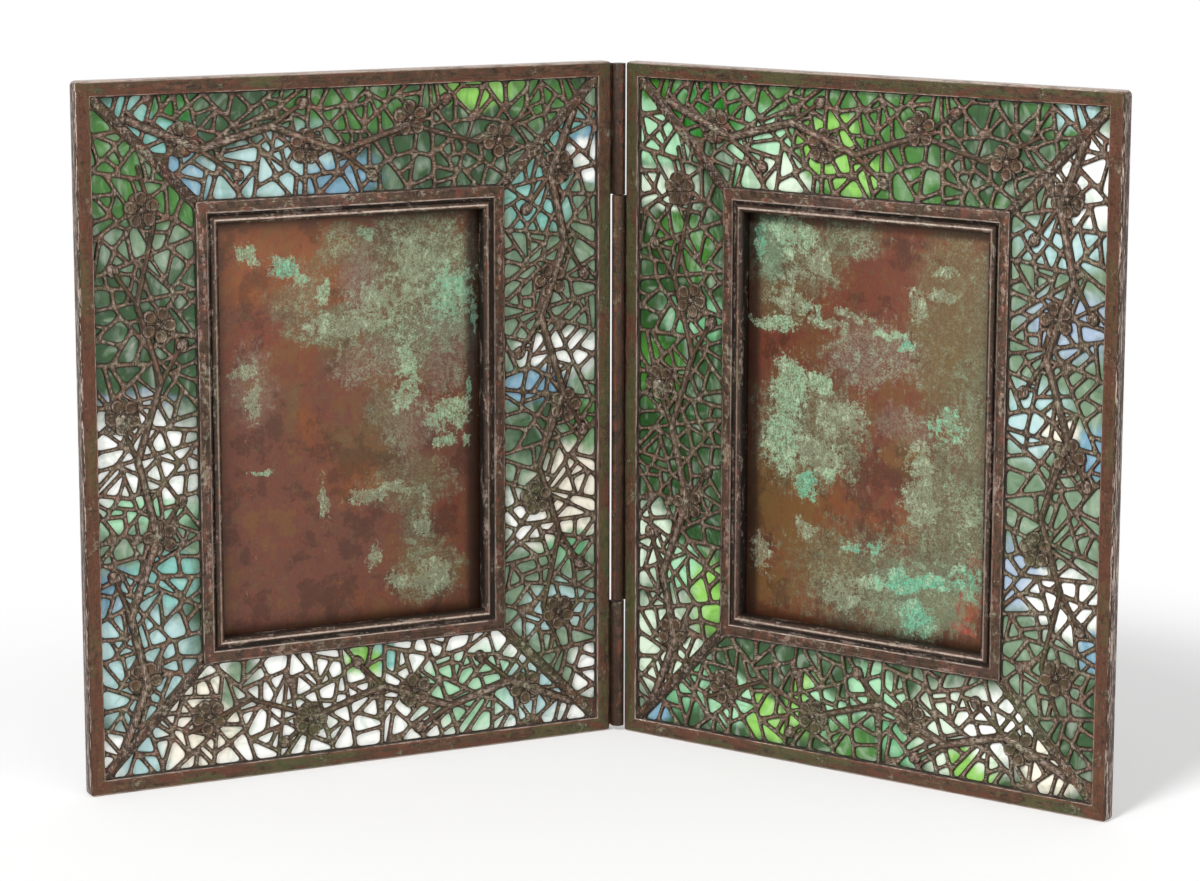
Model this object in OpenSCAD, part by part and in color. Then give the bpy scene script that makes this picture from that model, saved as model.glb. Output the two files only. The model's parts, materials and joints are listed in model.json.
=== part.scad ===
// Double photo frame: two bronze leaves on a barrel hinge, each with a pierced border
// over opal glass, a window moulding and a back plate that slides up out of its rails.
// A leaf is drawn flat, as seen from the front: x from its left edge, z from its foot,
// y from its front face towards the back. It is then turned about the hinge pin.

/* [Leaves] */
// Height of one leaf
leaf_h = 241; // [200:1:300]
// Width of one leaf
leaf_w = 197; // [160:1:260]
// Width of the border, from the leaf's edge to the window moulding
border_w = 41.5; // [34:0.5:50]
// Angle by which each leaf is turned forward from lying flat open
fold = 32; // [15:1:60]

/* [Rim channel] */
// Width of the front flange
rim_w = 5.3; // [4:0.1:8]
// Thickness of the front flange
rim_front_t = 1.2; // [0.8:0.1:2]
// Thickness of the outer wall
rim_wall_t = 1.1; // [0.8:0.1:2]
// Width of the back flange
rim_back_w = 4; // [3:0.1:7]
// Thickness of the back flange
rim_back_t = 0.8; // [0.5:0.1:1.5]
// Radius along the outer front edge
rim_edge_r = 1.1; // [0.3:0.1:1.1]
// Radius of the leaf's corners
rim_corner_r = 1.8; // [0.5:0.1:3]

/* [Openwork] */
// Thickness of the pierced sheet
openwork_t = 0.8; // [0.5:0.1:1.5]
// Mean width of a bar
bar_w = 1.5; // [1:0.1:2.4]
// Side of a mean opening
cell_size = 6.8; // [5.5:0.1:12]
// Smallest opening that is pierced, as the side of a square
cell_least = 1.6; // [1:0.1:3]
// Radius of a petal
petal_r = 2.4; // [1.5:0.1:4]
// Distance from a blossom's middle to the middle of a petal
petal_out = 3.9; // [2:0.1:5]
// Radius of a bud
bud_r = 2.2; // [1:0.1:4]
// Width of the thickest branch
branch_w = 3.4; // [2:0.1:5]
// Width of the raised bars over the corner seams
seam_w = 3; // [2:0.1:5]
// Height of those bars over the sheet
seam_rise = 0.7; // [0.3:0.1:1.1]

/* [Glass] */
// Thickness of the glass
glass_t = 2; // [1.5:0.1:3]
// Gap between two panes at a corner
pane_gap = 0.4; // [0.2:0.1:1]

/* [Window moulding] */
// Width of the flat band
band_w = 4.2; // [3:0.1:6]
// Width of the groove beside the band
groove_w = 0.9; // [0.5:0.1:2]
// Width of the round bead at the window's edge
bead_w = 3; // [2:0.1:5]
// Height of the band over the sheet
band_rise = 0.6; // [0.3:0.1:1.1]
// Height of the bead over the sheet
bead_rise = 0.9; // [0.3:0.1:1.1]
// Depth of the groove under the sheet's front
groove_sink = 0.4; // [0.1:0.1:0.8]
// Lap of the moulding over the sheet
band_lap = 1.6; // [1:0.1:2.5]
// Lap of the moulding's back flange behind the glass
mould_back_lap = 3; // [1:0.1:5]
// Thickness of the moulding's back flange
mould_back_t = 0.6; // [0.4:0.1:1.2]

/* [Back plate and rails] */
// Lap of the plate behind the moulding on each side
plate_lap = 4; // [3:0.1:5]
// Thickness of the plate
plate_t = 0.8; // [0.5:0.1:1.5]
// Width of the lip that the plate is lifted by
lip_w = 30; // [15:1:60]
// Depth of that lip behind the plate
lip_d = 3; // [2:0.1:6]
// Thickness of a rail's wall
rail_wall_t = 1; // [0.6:0.1:1.2]
// Thickness of a rail's lip
rail_lip_t = 0.6; // [0.4:0.1:1.2]
// Lap of a rail's lip over the plate
rail_lap = 2.5; // [1.5:0.1:4]
// Running gap round the plate
slide_gap = 0.3; // [0.2:0.05:0.5]

/* [Hinge] */
// Radius of the barrel
barrel_r = 2.35; // [1.8:0.05:2.4]
// Radius of the pin
pin_r = 1.1; // [0.7:0.05:1.3]
// Running clearance round the pin
pin_clear = 0.05; // [0.02:0.01:0.08]
// Distance from the pin's axis to the rim's wall
hinge_gap = 2.7; // [2.7:0.1:4]
// Distance by which the pin's axis stands before the leaves' front faces
pin_proud = 0.15; // [0.1:0.05:0.5]
// Thickness of the hinge sheet
hinge_t = 0.8; // [0.5:0.05:1.1]
// Depth of the hinge plate on the rim's wall
hinge_plate_d = 4.2; // [3:0.1:4.6]
// Height of the lower and the upper knuckle
end_knuckle_h = 46; // [25:1:70]
// Gap between two knuckles
knuckle_gap = 0.3; // [0.2:0.05:0.6]
// Height of the barrel's lower end over the foot
barrel_low = 1.8; // [0.5:0.1:5]
// Distance of the barrel's upper end below the leaf's top
barrel_top_gap = 0.8; // [0.2:0.1:5]

/* [Hidden] */
$fn = 48;

// Depths behind the front face
sheet_y = rim_front_t;
glass_y = sheet_y + openwork_t;
glass_back_y = glass_y + glass_t;
rim_d = glass_back_y + rim_back_t;
mould_back_y = glass_back_y + mould_back_t;
plate_y = max(rim_d, mould_back_y) + slide_gap;
plate_back_y = plate_y + plate_t;
rail_lip_y = plate_back_y + slide_gap;
rail_back_y = rail_lip_y + rail_lip_t;

// Distances in from the leaf's edge
sight_in = border_w + band_w + groove_w + bead_w;
pane_in = rim_wall_t + slide_gap;
pane_end_in = border_w + band_lap - slide_gap;
plate_in = sight_in - plate_lap;
rail_in = plate_in - slide_gap - rail_wall_t;
rail_lip_in = plate_in + rail_lap;

// Openings start this far under the rim and the moulding
hidden_lap = bar_w / 4;
// Solid sheet beside a corner seam, as a share of the raised bar and measured along the leaf's edge
seam_cover_share = 0.42;
seam_margin = seam_w * seam_cover_share * sqrt(2);
// How far a cutting slab stands over what it cuts
overrun = rim_front_t;

// Hinge axis, placed so that the part's box is centred on the origin
leaf_reach = leaf_w + hinge_gap;
front_reach_y = -(leaf_reach - rim_edge_r) * sin(fold) + (pin_proud + rim_edge_r) * cos(fold) - rim_edge_r;
rim_rear_y = (pin_proud + rim_d) * cos(fold) - hinge_gap * sin(fold);
plate_rear_y = (pin_proud + hinge_plate_d) * cos(fold) - (hinge_gap - hinge_t) * sin(fold);
rear_reach_y = max(rim_rear_y, plate_rear_y, barrel_r);
axis_y = -(front_reach_y + rear_reach_y) / 2;
barrel_top = leaf_h - barrel_top_gap;

// Crackle of the openwork
scatter_turn = 78.233;
scatter_gain = 4373.71;
split_tilt = 24;
split_shift_share = 0.3;
size_low_share = 0.6;
size_spread_share = 1.2;
petals = 5;
heart_share = 0.8;
bar_low_share = 0.8;
bar_spread_share = 0.4;
trial_turns = [0 : 30 : 150];
side_seeds = [["left", 3], ["right", 7], ["top", 5], ["bottom", 11]];

// Branches on each side, each a row of points: share of the run, share of the border's width,
// share of the thickest branch. The first row is the branch and the others are its twigs.
left_branch_shares = [
  [[0.06, 0.2, 0.9], [0.15, 0.45, 1], [0.25, 0.3, 0.95], [0.36, 0.58, 0.9], [0.47, 0.4, 0.8],
    [0.58, 0.64, 0.7], [0.69, 0.42, 0.6], [0.8, 0.6, 0.5], [0.88, 0.45, 0.4]],
  [[0.25, 0.3, 0.6], [0.31, 0.14, 0.4]],
  [[0.36, 0.58, 0.6], [0.41, 0.82, 0.4]],
  [[0.47, 0.4, 0.6], [0.53, 0.22, 0.4]],
  [[0.58, 0.64, 0.5], [0.63, 0.86, 0.4]],
  [[0.69, 0.42, 0.5], [0.74, 0.18, 0.4]]];
right_branch_shares = [
  [[0.93, 0.25, 0.9], [0.84, 0.5, 1], [0.74, 0.34, 0.95], [0.63, 0.6, 0.9], [0.52, 0.36, 0.8],
    [0.41, 0.62, 0.7], [0.31, 0.4, 0.6], [0.2, 0.58, 0.5], [0.13, 0.38, 0.4]],
  [[0.84, 0.5, 0.6], [0.79, 0.76, 0.4]],
  [[0.74, 0.34, 0.6], [0.69, 0.13, 0.4]],
  [[0.63, 0.6, 0.6], [0.58, 0.84, 0.4]],
  [[0.52, 0.36, 0.6], [0.46, 0.15, 0.4]],
  [[0.31, 0.4, 0.5], [0.26, 0.18, 0.4]]];
top_branch_shares = [
  [[0.09, 0.22, 0.9], [0.22, 0.52, 1], [0.35, 0.34, 0.9], [0.48, 0.6, 0.8], [0.61, 0.38, 0.65],
    [0.74, 0.58, 0.5], [0.84, 0.32, 0.4]],
  [[0.22, 0.52, 0.6], [0.29, 0.78, 0.4]],
  [[0.35, 0.34, 0.6], [0.41, 0.13, 0.4]],
  [[0.48, 0.6, 0.6], [0.54, 0.85, 0.4]],
  [[0.61, 0.38, 0.5], [0.68, 0.15, 0.4]]];
bottom_branch_shares = [
  [[0.92, 0.2, 0.9], [0.8, 0.48, 1], [0.68, 0.3, 0.9], [0.55, 0.58, 0.8], [0.42, 0.36, 0.65],
    [0.3, 0.6, 0.5], [0.18, 0.34, 0.4]],
  [[0.8, 0.48, 0.6], [0.74, 0.76, 0.4]],
  [[0.68, 0.3, 0.6], [0.62, 0.12, 0.4]],
  [[0.55, 0.58, 0.6], [0.5, 0.85, 0.4]],
  [[0.42, 0.36, 0.5], [0.36, 0.14, 0.4]]];

// Blossoms on each side: share of the run, share of the border's width, turn in degrees
left_blossom_shares = [
  [0.16, 0.42, 10], [0.36, 0.6, 40], [0.535, 0.26, 25],
  [0.66, 0.62, 5], [0.82, 0.48, 50]];
right_blossom_shares = [
  [0.85, 0.42, 20], [0.685, 0.5, 0], [0.5, 0.34, 35],
  [0.365, 0.66, 60], [0.19, 0.42, 15]];
top_blossom_shares = [
  [0.19, 0.42, 15], [0.415, 0.54, 45], [0.61, 0.32, 30],
  [0.78, 0.56, 0]];
bottom_blossom_shares = [
  [0.83, 0.4, 33], [0.61, 0.5, 12], [0.41, 0.34, 52],
  [0.22, 0.48, 24]];

bronze = [0.36, 0.27, 0.22];
worn_bronze = [0.42, 0.34, 0.29];
copper = [0.48, 0.27, 0.2];
opal_green = [0.42, 0.62, 0.45];
brass_brown = [0.4, 0.31, 0.2];

// Side of the leaf as seen from the front, for its outer or hinge side
function seen_side(leaf, side) =
  side == "outer" ? leaf : side == "hinge" ? (leaf == "left" ? "right" : "left") : side;
// Length of the leaf along a side
function run_of(seen) = seen == "left" || seen == "right" ? leaf_h : leaf_w;

// A number from 0 to 1 that follows from a whole number
function scatter(i) = let (v = sin(i * scatter_turn) * scatter_gain) v - floor(v);
function turned(a) = [cos(a), sin(a)];
function total(v) = v * [for (x = v) 1];
function middle(p) = [total([for (q = p) q.x]), total([for (q = p) q.y])] / len(p);
function area(p) = abs(total([for (i = [0 : len(p) - 1]) cross(p[i], p[(i + 1) % len(p)])])) / 2;
function reach(p, n) = let (d = [for (q = p) q * n]) max(d) - min(d);
// Direction in which an outline is longest
function long_turn(p) =
  let (t = [for (a = trial_turns) a], e = [for (a = t) reach(p, turned(a))])
  [for (i = [0 : len(t) - 1]) if (e[i] == max(e)) t[i]][0];
// What is left of an outline on the side of the line through a that n points to
function clip(p, a, n) = [
  for (i = [0 : len(p) - 1])
    let (q = p[i], r = p[(i + 1) % len(p)], dq = (q - a) * n, dr = (r - a) * n)
      each concat(dq >= 0 ? [q] : [], dq * dr < 0 ? [q + (r - q) * dq / (dq - dr)] : [])];
// Outline split again and again by slanted lines, like cracks in ice
function crackle(p, seed) =
  area(p) < cell_size * cell_size * (size_low_share + size_spread_share * scatter(seed)) ? [p] :
  let (
    n = turned(long_turn(p) + (2 * scatter(seed + 1) - 1) * split_tilt),
    a = middle(p) + n * reach(p, n) * (scatter(seed + 2) - 0.5) * split_shift_share)
  concat(crackle(clip(p, a, n), 2 * seed + 1), crackle(clip(p, a, -n), 2 * seed + 2));
// Outline drawn in on all sides by d, from edge i on
function drawn_in(p, edges, d, i = 0) =
  i == len(edges) || len(p) < 3 ? p :
  let (
    q = edges[i],
    r = edges[(i + 1) % len(edges)],
    n = [q.y - r.y, r.x - q.x] / norm(r - q))
  drawn_in(clip(p, q + n * d, n), edges, d, i + 1);

// Puts a leaf's piece where that leaf stands
module leaf_place(leaf) {
  translate([0, axis_y, 0])
    rotate([0, 0, leaf == "left" ? fold : -fold])
      translate([leaf == "left" ? -leaf_reach : hinge_gap, pin_proud, 0])
        children();
}

// Turns a piece drawn along the left side, at x = 0, to another side of the leaf
module on_side(seen) {
  if (seen == "left") children();
  if (seen == "right") translate([leaf_w, 0, 0]) mirror([1, 0, 0]) children();
  if (seen == "bottom") mirror([1, 0, -1]) children();
  if (seen == "top") translate([0, 0, leaf_h]) mirror([0, 0, 1]) mirror([1, 0, -1]) children();
}

// Flat piece from an outline in the leaf's plane, from depth y on
module slab(y, t) {
  translate([0, y + t, 0])
    rotate([90, 0, 0])
      linear_extrude(t)
        children();
}

// Outline between two insets, with its ends on the lines of the corner seams
module mitred_plan(run, from_in, to_in, end_gap = 0) {
  polygon([
    [from_in, from_in + end_gap],
    [to_in, to_in + end_gap],
    [to_in, run - to_in - end_gap],
    [from_in, run - from_in - end_gap]]);
}

// Bar with the children's section, x inwards and y in depth, cut to the corner seams
module mitred_bar(run, to_in) {
  intersection() {
    linear_extrude(run)
      children();
    slab(-overrun, rail_back_y + 2 * overrun)
      mitred_plan(run, 0, to_in);
  }
}

// Waste outside the leaf's rounded corner
module corner_waste() {
  difference() {
    translate([-overrun, -overrun])
      square(rim_corner_r + overrun);
    translate([rim_corner_r, rim_corner_r])
      circle(rim_corner_r);
  }
}

// Channel section of the rim: front flange, wall and back flange
module rim_section() {
  difference() {
    union() {
      translate([rim_edge_r, 0])
        square([rim_w - rim_edge_r, rim_front_t]);
      translate([0, rim_edge_r])
        square([rim_wall_t, rim_d - rim_edge_r]);
      translate([rim_edge_r, rim_edge_r])
        circle(rim_edge_r);
      translate([0, glass_back_y])
        square([rim_back_w, rim_back_t]);
    }
    translate([rim_wall_t, sheet_y])
      square([rim_w, openwork_t + glass_t]);
  }
}

module rim_bar(leaf, side) {
  seen = seen_side(leaf, side);
  run = run_of(seen);
  color(bronze)
    leaf_place(leaf)
      on_side(seen)
        difference() {
          mitred_bar(run, rim_w + overrun)
            rim_section();
          slab(-overrun, rim_d + 2 * overrun)
            corner_waste();
          translate([0, 0, run])
            mirror([0, 0, 1])
              slab(-overrun, rim_d + 2 * overrun)
                corner_waste();
        }
}

// Pierced openings, in the plane of the left side
module crackle_plan(run, seed) {
  from_in = rim_w - hidden_lap;
  to_in = border_w + hidden_lap;
  field = [
    [from_in, from_in + seam_margin],
    [to_in, to_in + seam_margin],
    [to_in, run - to_in - seam_margin],
    [from_in, run - from_in - seam_margin]];
  cells = crackle(field, seed);
  for (i = [0 : len(cells) - 1]) {
    cell = cells[i];
    half = bar_w / 2 * (bar_low_share + bar_spread_share * scatter(seed + i));
    opening = drawn_in(cell, cell, half);
    if (len(opening) > 2 && area(opening) > cell_least * cell_least)
      polygon(opening);
  }
}

module blossom_plan(turn) {
  circle(petal_out * heart_share);
  for (k = [0 : petals - 1])
    rotate(turn + k * 360 / petals)
      translate([petal_out, 0])
        circle(petal_r);
}

// Branch through a row of points, with a bud at its end
module branch_plan(points, widths, bud) {
  last = len(points) - 1;
  for (i = [0 : last])
    translate(points[i])
      circle(i == last && bud ? bud_r : widths[i] / 2);
  for (i = [0 : last - 1]) {
    ahead = (points[i + 1] - points[i]) / norm(points[i + 1] - points[i]);
    beside = [-ahead.y, ahead.x];
    polygon([
      points[i] + beside * widths[i] / 2,
      points[i] - beside * widths[i] / 2,
      points[i + 1] - beside * widths[i + 1] / 2,
      points[i + 1] + beside * widths[i + 1] / 2]);
  }
}

// Branches, buds and blossoms left solid in the sheet
module flower_plan(run, branch_shares, blossom_shares) {
  span = border_w - rim_w;
  for (i = [0 : len(branch_shares) - 1])
    branch_plan(
      [for (b = branch_shares[i]) [rim_w + b[1] * span, b[0] * run]],
      [for (b = branch_shares[i]) b[2] * branch_w],
      i > 0);
  for (b = blossom_shares)
    translate([rim_w + b[1] * span, b[0] * run])
      blossom_plan(b[2]);
}

module side_flower_plan(seen, run) {
  if (seen == "left") flower_plan(run, left_branch_shares, left_blossom_shares);
  if (seen == "right") flower_plan(run, right_branch_shares, right_blossom_shares);
  if (seen == "top") flower_plan(run, top_branch_shares, top_blossom_shares);
  if (seen == "bottom") flower_plan(run, bottom_branch_shares, bottom_blossom_shares);
}

module openwork(leaf, side) {
  seen = seen_side(leaf, side);
  run = run_of(seen);
  seed = [for (s = side_seeds) if (s[0] == seen) s[1]][0];
  color(worn_bronze)
    leaf_place(leaf)
      on_side(seen)
        slab(sheet_y, openwork_t)
          difference() {
            mitred_plan(run, pane_in, pane_end_in);
            difference() {
              crackle_plan(run, seed);
              side_flower_plan(seen, run);
            }
          }
}

// Raised bar over the seam in one corner, from the rim to the moulding
module seam_bar() {
  half = seam_w / sqrt(2);
  slab(sheet_y - seam_rise, seam_rise)
    polygon([
      [rim_w, rim_w],
      [rim_w + half, rim_w],
      [border_w, border_w - half],
      [border_w, border_w],
      [border_w - half, border_w],
      [rim_w, rim_w + half]]);
}

module seam_bars(leaf) {
  color(bronze)
    leaf_place(leaf)
      for (seen = ["left", "right"])
        on_side(seen) {
          seam_bar();
          translate([0, 0, leaf_h])
            mirror([0, 0, 1])
              seam_bar();
        }
}

module glass_pane(leaf, side) {
  seen = seen_side(leaf, side);
  color(opal_green)
    leaf_place(leaf)
      on_side(seen)
        slab(glass_y, glass_t)
          mitred_plan(run_of(seen), pane_in, pane_end_in, pane_gap);
}

// Section of the window moulding: flat band, groove, round bead and a channel for sheet and glass
module moulding_section() {
  bead_r = bead_w / 2;
  bead_in = sight_in - bead_w;
  bead_y = sheet_y - bead_rise + bead_r;
  floor_y = sheet_y + groove_sink;
  translate([border_w, sheet_y - band_rise])
    square([band_w, band_rise]);
  translate([border_w + band_lap, sheet_y])
    square([band_w - band_lap, mould_back_y - sheet_y]);
  translate([border_w + band_w, floor_y])
    square([groove_w, mould_back_y - floor_y]);
  translate([bead_in, bead_y])
    square([bead_w, mould_back_y - bead_y]);
  translate([bead_in + bead_r, bead_y])
    circle(bead_r);
  translate([border_w - mould_back_lap, glass_back_y])
    square([mould_back_lap + band_w, mould_back_t]);
}

module moulding(leaf, side) {
  seen = seen_side(leaf, side);
  color(bronze)
    leaf_place(leaf)
      on_side(seen)
        mitred_bar(run_of(seen), sight_in + overrun)
          moulding_section();
}

// Section of a rail: a wall on the moulding's back and a lip behind the plate
module rail_section() {
  translate([rail_in, mould_back_y])
    square([rail_wall_t, rail_back_y - mould_back_y]);
  translate([rail_in, rail_lip_y])
    square([rail_lip_in - rail_in, rail_lip_t]);
}

module rail(leaf, side) {
  seen = seen_side(leaf, side);
  run = run_of(seen);
  color(brass_brown)
    leaf_place(leaf)
      on_side(seen)
        difference() {
          mitred_bar(run, rail_lip_in + overrun)
            rail_section();
          if (side != "bottom")
            translate([0, 0, run - sight_in])
              cube([leaf_w, rail_back_y + overrun, sight_in]);
        }
}

module back_plate(leaf) {
  plate_w = leaf_w - 2 * plate_in;
  plate_h = leaf_h - 2 * plate_in;
  color(copper)
    leaf_place(leaf) {
      translate([plate_in, plate_y, plate_in])
        cube([plate_w, plate_t, plate_h]);
      translate([(leaf_w - lip_w) / 2, plate_y, leaf_h - plate_in])
        cube([lip_w, plate_t + lip_d, plate_t]);
    }
}

// Knuckle between two heights, with the sheet that joins it to its leaf's rim
module knuckle(leaf, low, high) {
  h = high - low;
  out = leaf == "left" ? -1 : 1;
  color(bronze)
    translate([0, axis_y, low])
      rotate([0, 0, -out * fold])
        difference() {
          union() {
            cylinder(r = barrel_r, h = h);
            to_side(out)
              translate([0, barrel_r - hinge_t, 0])
                cube([hinge_gap, hinge_t, h]);
            to_side(out)
              translate([hinge_gap - hinge_t, barrel_r - hinge_t, 0])
                cube([hinge_t, pin_proud + hinge_plate_d - barrel_r + hinge_t, h]);
          }
          translate([0, 0, -overrun])
            cylinder(r = pin_r + pin_clear, h = h + 2 * overrun);
        }
}

// Turns a piece drawn to the right of the pin to the left where out is negative
module to_side(out) {
  if (out > 0) children();
  if (out < 0) mirror([1, 0, 0]) children();
}

module upper_knuckle() {
  knuckle("left", barrel_top - end_knuckle_h, barrel_top);
}

module middle_knuckle() {
  knuckle("right", barrel_low + end_knuckle_h + knuckle_gap, barrel_top - end_knuckle_h - knuckle_gap);
}

module lower_knuckle() {
  knuckle("left", barrel_low, barrel_low + end_knuckle_h);
}

module hinge_pin() {
  color(brass_brown)
    translate([0, axis_y, barrel_low])
      cylinder(r = pin_r, h = barrel_top - barrel_low);
}

rim_bar("left", "top");  // left_rim_top
rim_bar("left", "bottom");  // left_rim_bottom
rim_bar("left", "outer");  // left_rim_outer
rim_bar("left", "hinge");  // left_rim_hinge
openwork("left", "top");  // left_openwork_top
openwork("left", "bottom");  // left_openwork_bottom
openwork("left", "outer");  // left_openwork_outer
openwork("left", "hinge");  // left_openwork_hinge
seam_bars("left");  // left_seam_bars
glass_pane("left", "top");  // left_glass_top
glass_pane("left", "bottom");  // left_glass_bottom
glass_pane("left", "outer");  // left_glass_outer
glass_pane("left", "hinge");  // left_glass_hinge
moulding("left", "top");  // left_moulding_top
moulding("left", "bottom");  // left_moulding_bottom
moulding("left", "outer");  // left_moulding_outer
moulding("left", "hinge");  // left_moulding_hinge
rail("left", "bottom");  // left_rail_bottom
rail("left", "outer");  // left_rail_outer
rail("left", "hinge");  // left_rail_hinge
back_plate("left");  // left_back_plate
rim_bar("right", "top");  // right_rim_top
rim_bar("right", "bottom");  // right_rim_bottom
rim_bar("right", "outer");  // right_rim_outer
rim_bar("right", "hinge");  // right_rim_hinge
openwork("right", "top");  // right_openwork_top
openwork("right", "bottom");  // right_openwork_bottom
openwork("right", "outer");  // right_openwork_outer
openwork("right", "hinge");  // right_openwork_hinge
seam_bars("right");  // right_seam_bars
glass_pane("right", "top");  // right_glass_top
glass_pane("right", "bottom");  // right_glass_bottom
glass_pane("right", "outer");  // right_glass_outer
glass_pane("right", "hinge");  // right_glass_hinge
moulding("right", "top");  // right_moulding_top
moulding("right", "bottom");  // right_moulding_bottom
moulding("right", "outer");  // right_moulding_outer
moulding("right", "hinge");  // right_moulding_hinge
rail("right", "bottom");  // right_rail_bottom
rail("right", "outer");  // right_rail_outer
rail("right", "hinge");  // right_rail_hinge
back_plate("right");  // right_back_plate
upper_knuckle();
middle_knuckle();
lower_knuckle();
hinge_pin();
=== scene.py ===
"""Looks of the double photo frame: bronze leaves, pierced borders over opal glass, copper back plates."""

import json
import math
from types import SimpleNamespace

import bmesh
import bpy
from mathutils import Matrix, Vector, geometry, noise


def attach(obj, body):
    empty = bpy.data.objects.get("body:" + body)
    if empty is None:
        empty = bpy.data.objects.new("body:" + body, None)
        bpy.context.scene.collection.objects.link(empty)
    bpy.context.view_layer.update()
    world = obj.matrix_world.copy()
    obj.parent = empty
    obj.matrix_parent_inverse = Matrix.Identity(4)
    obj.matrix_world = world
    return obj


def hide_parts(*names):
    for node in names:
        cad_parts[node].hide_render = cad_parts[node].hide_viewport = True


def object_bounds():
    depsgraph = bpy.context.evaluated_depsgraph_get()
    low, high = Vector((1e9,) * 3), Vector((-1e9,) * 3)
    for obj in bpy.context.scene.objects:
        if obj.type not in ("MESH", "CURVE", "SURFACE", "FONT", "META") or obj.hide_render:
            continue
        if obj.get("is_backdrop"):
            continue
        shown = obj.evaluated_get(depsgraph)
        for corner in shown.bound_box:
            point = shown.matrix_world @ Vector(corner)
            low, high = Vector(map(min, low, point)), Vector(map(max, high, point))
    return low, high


bl_info = {
    "name": "Double Photo Frame",
    "version": (1, 0, 0),
    "blender": (4, 5, 0),
    "location": "View3D > Sidebar > Photo Frame",
    "description": "Dresses a hinged double photo frame in bronze, opal glass and copper",
    "category": "Object",
}

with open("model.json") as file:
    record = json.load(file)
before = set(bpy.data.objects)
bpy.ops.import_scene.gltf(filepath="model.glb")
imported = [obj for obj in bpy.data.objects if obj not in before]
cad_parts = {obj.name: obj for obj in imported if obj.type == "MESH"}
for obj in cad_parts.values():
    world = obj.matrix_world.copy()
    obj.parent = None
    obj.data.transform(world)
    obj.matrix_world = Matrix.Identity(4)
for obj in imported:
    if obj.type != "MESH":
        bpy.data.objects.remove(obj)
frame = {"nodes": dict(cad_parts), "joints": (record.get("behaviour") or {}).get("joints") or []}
bpy.context.view_layer.update()
CAD_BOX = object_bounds()
HINGE = Vector(next(joint["pos_m"] for joint in frame["joints"] if joint["name"] == "fold_hinge"))

LEAVES = ("left", "right")
SIDES = ("top", "bottom", "outer", "hinge")
PER_METRE = 1000

# Without a seed the lumps of bark and solder would differ from run to run
LUMP_SEED = 1
noise.seed_set(LUMP_SEED)

# Lengths in millimetres that the mesh work goes by
MERGE_DISTANCE = 0.002
MITRE_TOLERANCE = 0.01
DEPTH_TOLERANCE = 0.001
PLAN_TOLERANCE = 1e-5
NO_LENGTH = 1e-6
FINE_BARK = 2.4
FINE_SEAM = 1.6

# A face counts as front or back where its normal's share along the leaf's depth is above this
FACES_FRONT = 0.9

# Turns of the surface: below the first it counts as flat, above the next two its edges are
# rounded, and above the last three it is shaded as sharp
FLAT_TURN = math.radians(0.5)
CORNER_TURN = math.radians(20)
SHARP_TURN = math.radians(30)
SMOOTH_TURN = math.radians(32)
RELIEF_TURN = math.radians(50)
SOLDER_TURN = math.radians(60)

# Rings of a petal from its edge to its heart: width as a share of its radius, rise as a share of
# its height
PETAL_RINGS = ((0.1, 0.3), (0.14, 0), (0.16, -0.3), (0.2, -0.25))

# Stamens at each petal: swerve as a share of the turn between petals, reach as a share of the
# petal's distance from the heart
STAMENS = ((-0.16, 0.7), (0.16, 0.62), (0.5, 0.42))
PETALS = 5
SEPAL_TURN = math.radians(18)

# What a copy of a CAD mesh carries along and doesn't need
CAD_LAYERS = ("custom_normal", "sharp_edge", "sharp_face")

NOISE_MEAN = 0.5

# The glass is multiplied by the first two where it is dim or deep, and has specks of the third
DIM_GLASS = (0.4, 0.5, 0.4)
DEEP_GLASS = (0.42, 0.58, 0.4)
GLASS_SPECKS = (0.1, 0.09, 0.05)

# The floor is already this far on its way to white under the object, which keeps shadows pale
LEAST_FADE = 0.25
FLOOR_GRAIN = (0.8, 0.8, 0.8)
WHITE = (1, 1, 1, 1)
SENSOR_WIDTH = 36

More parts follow.
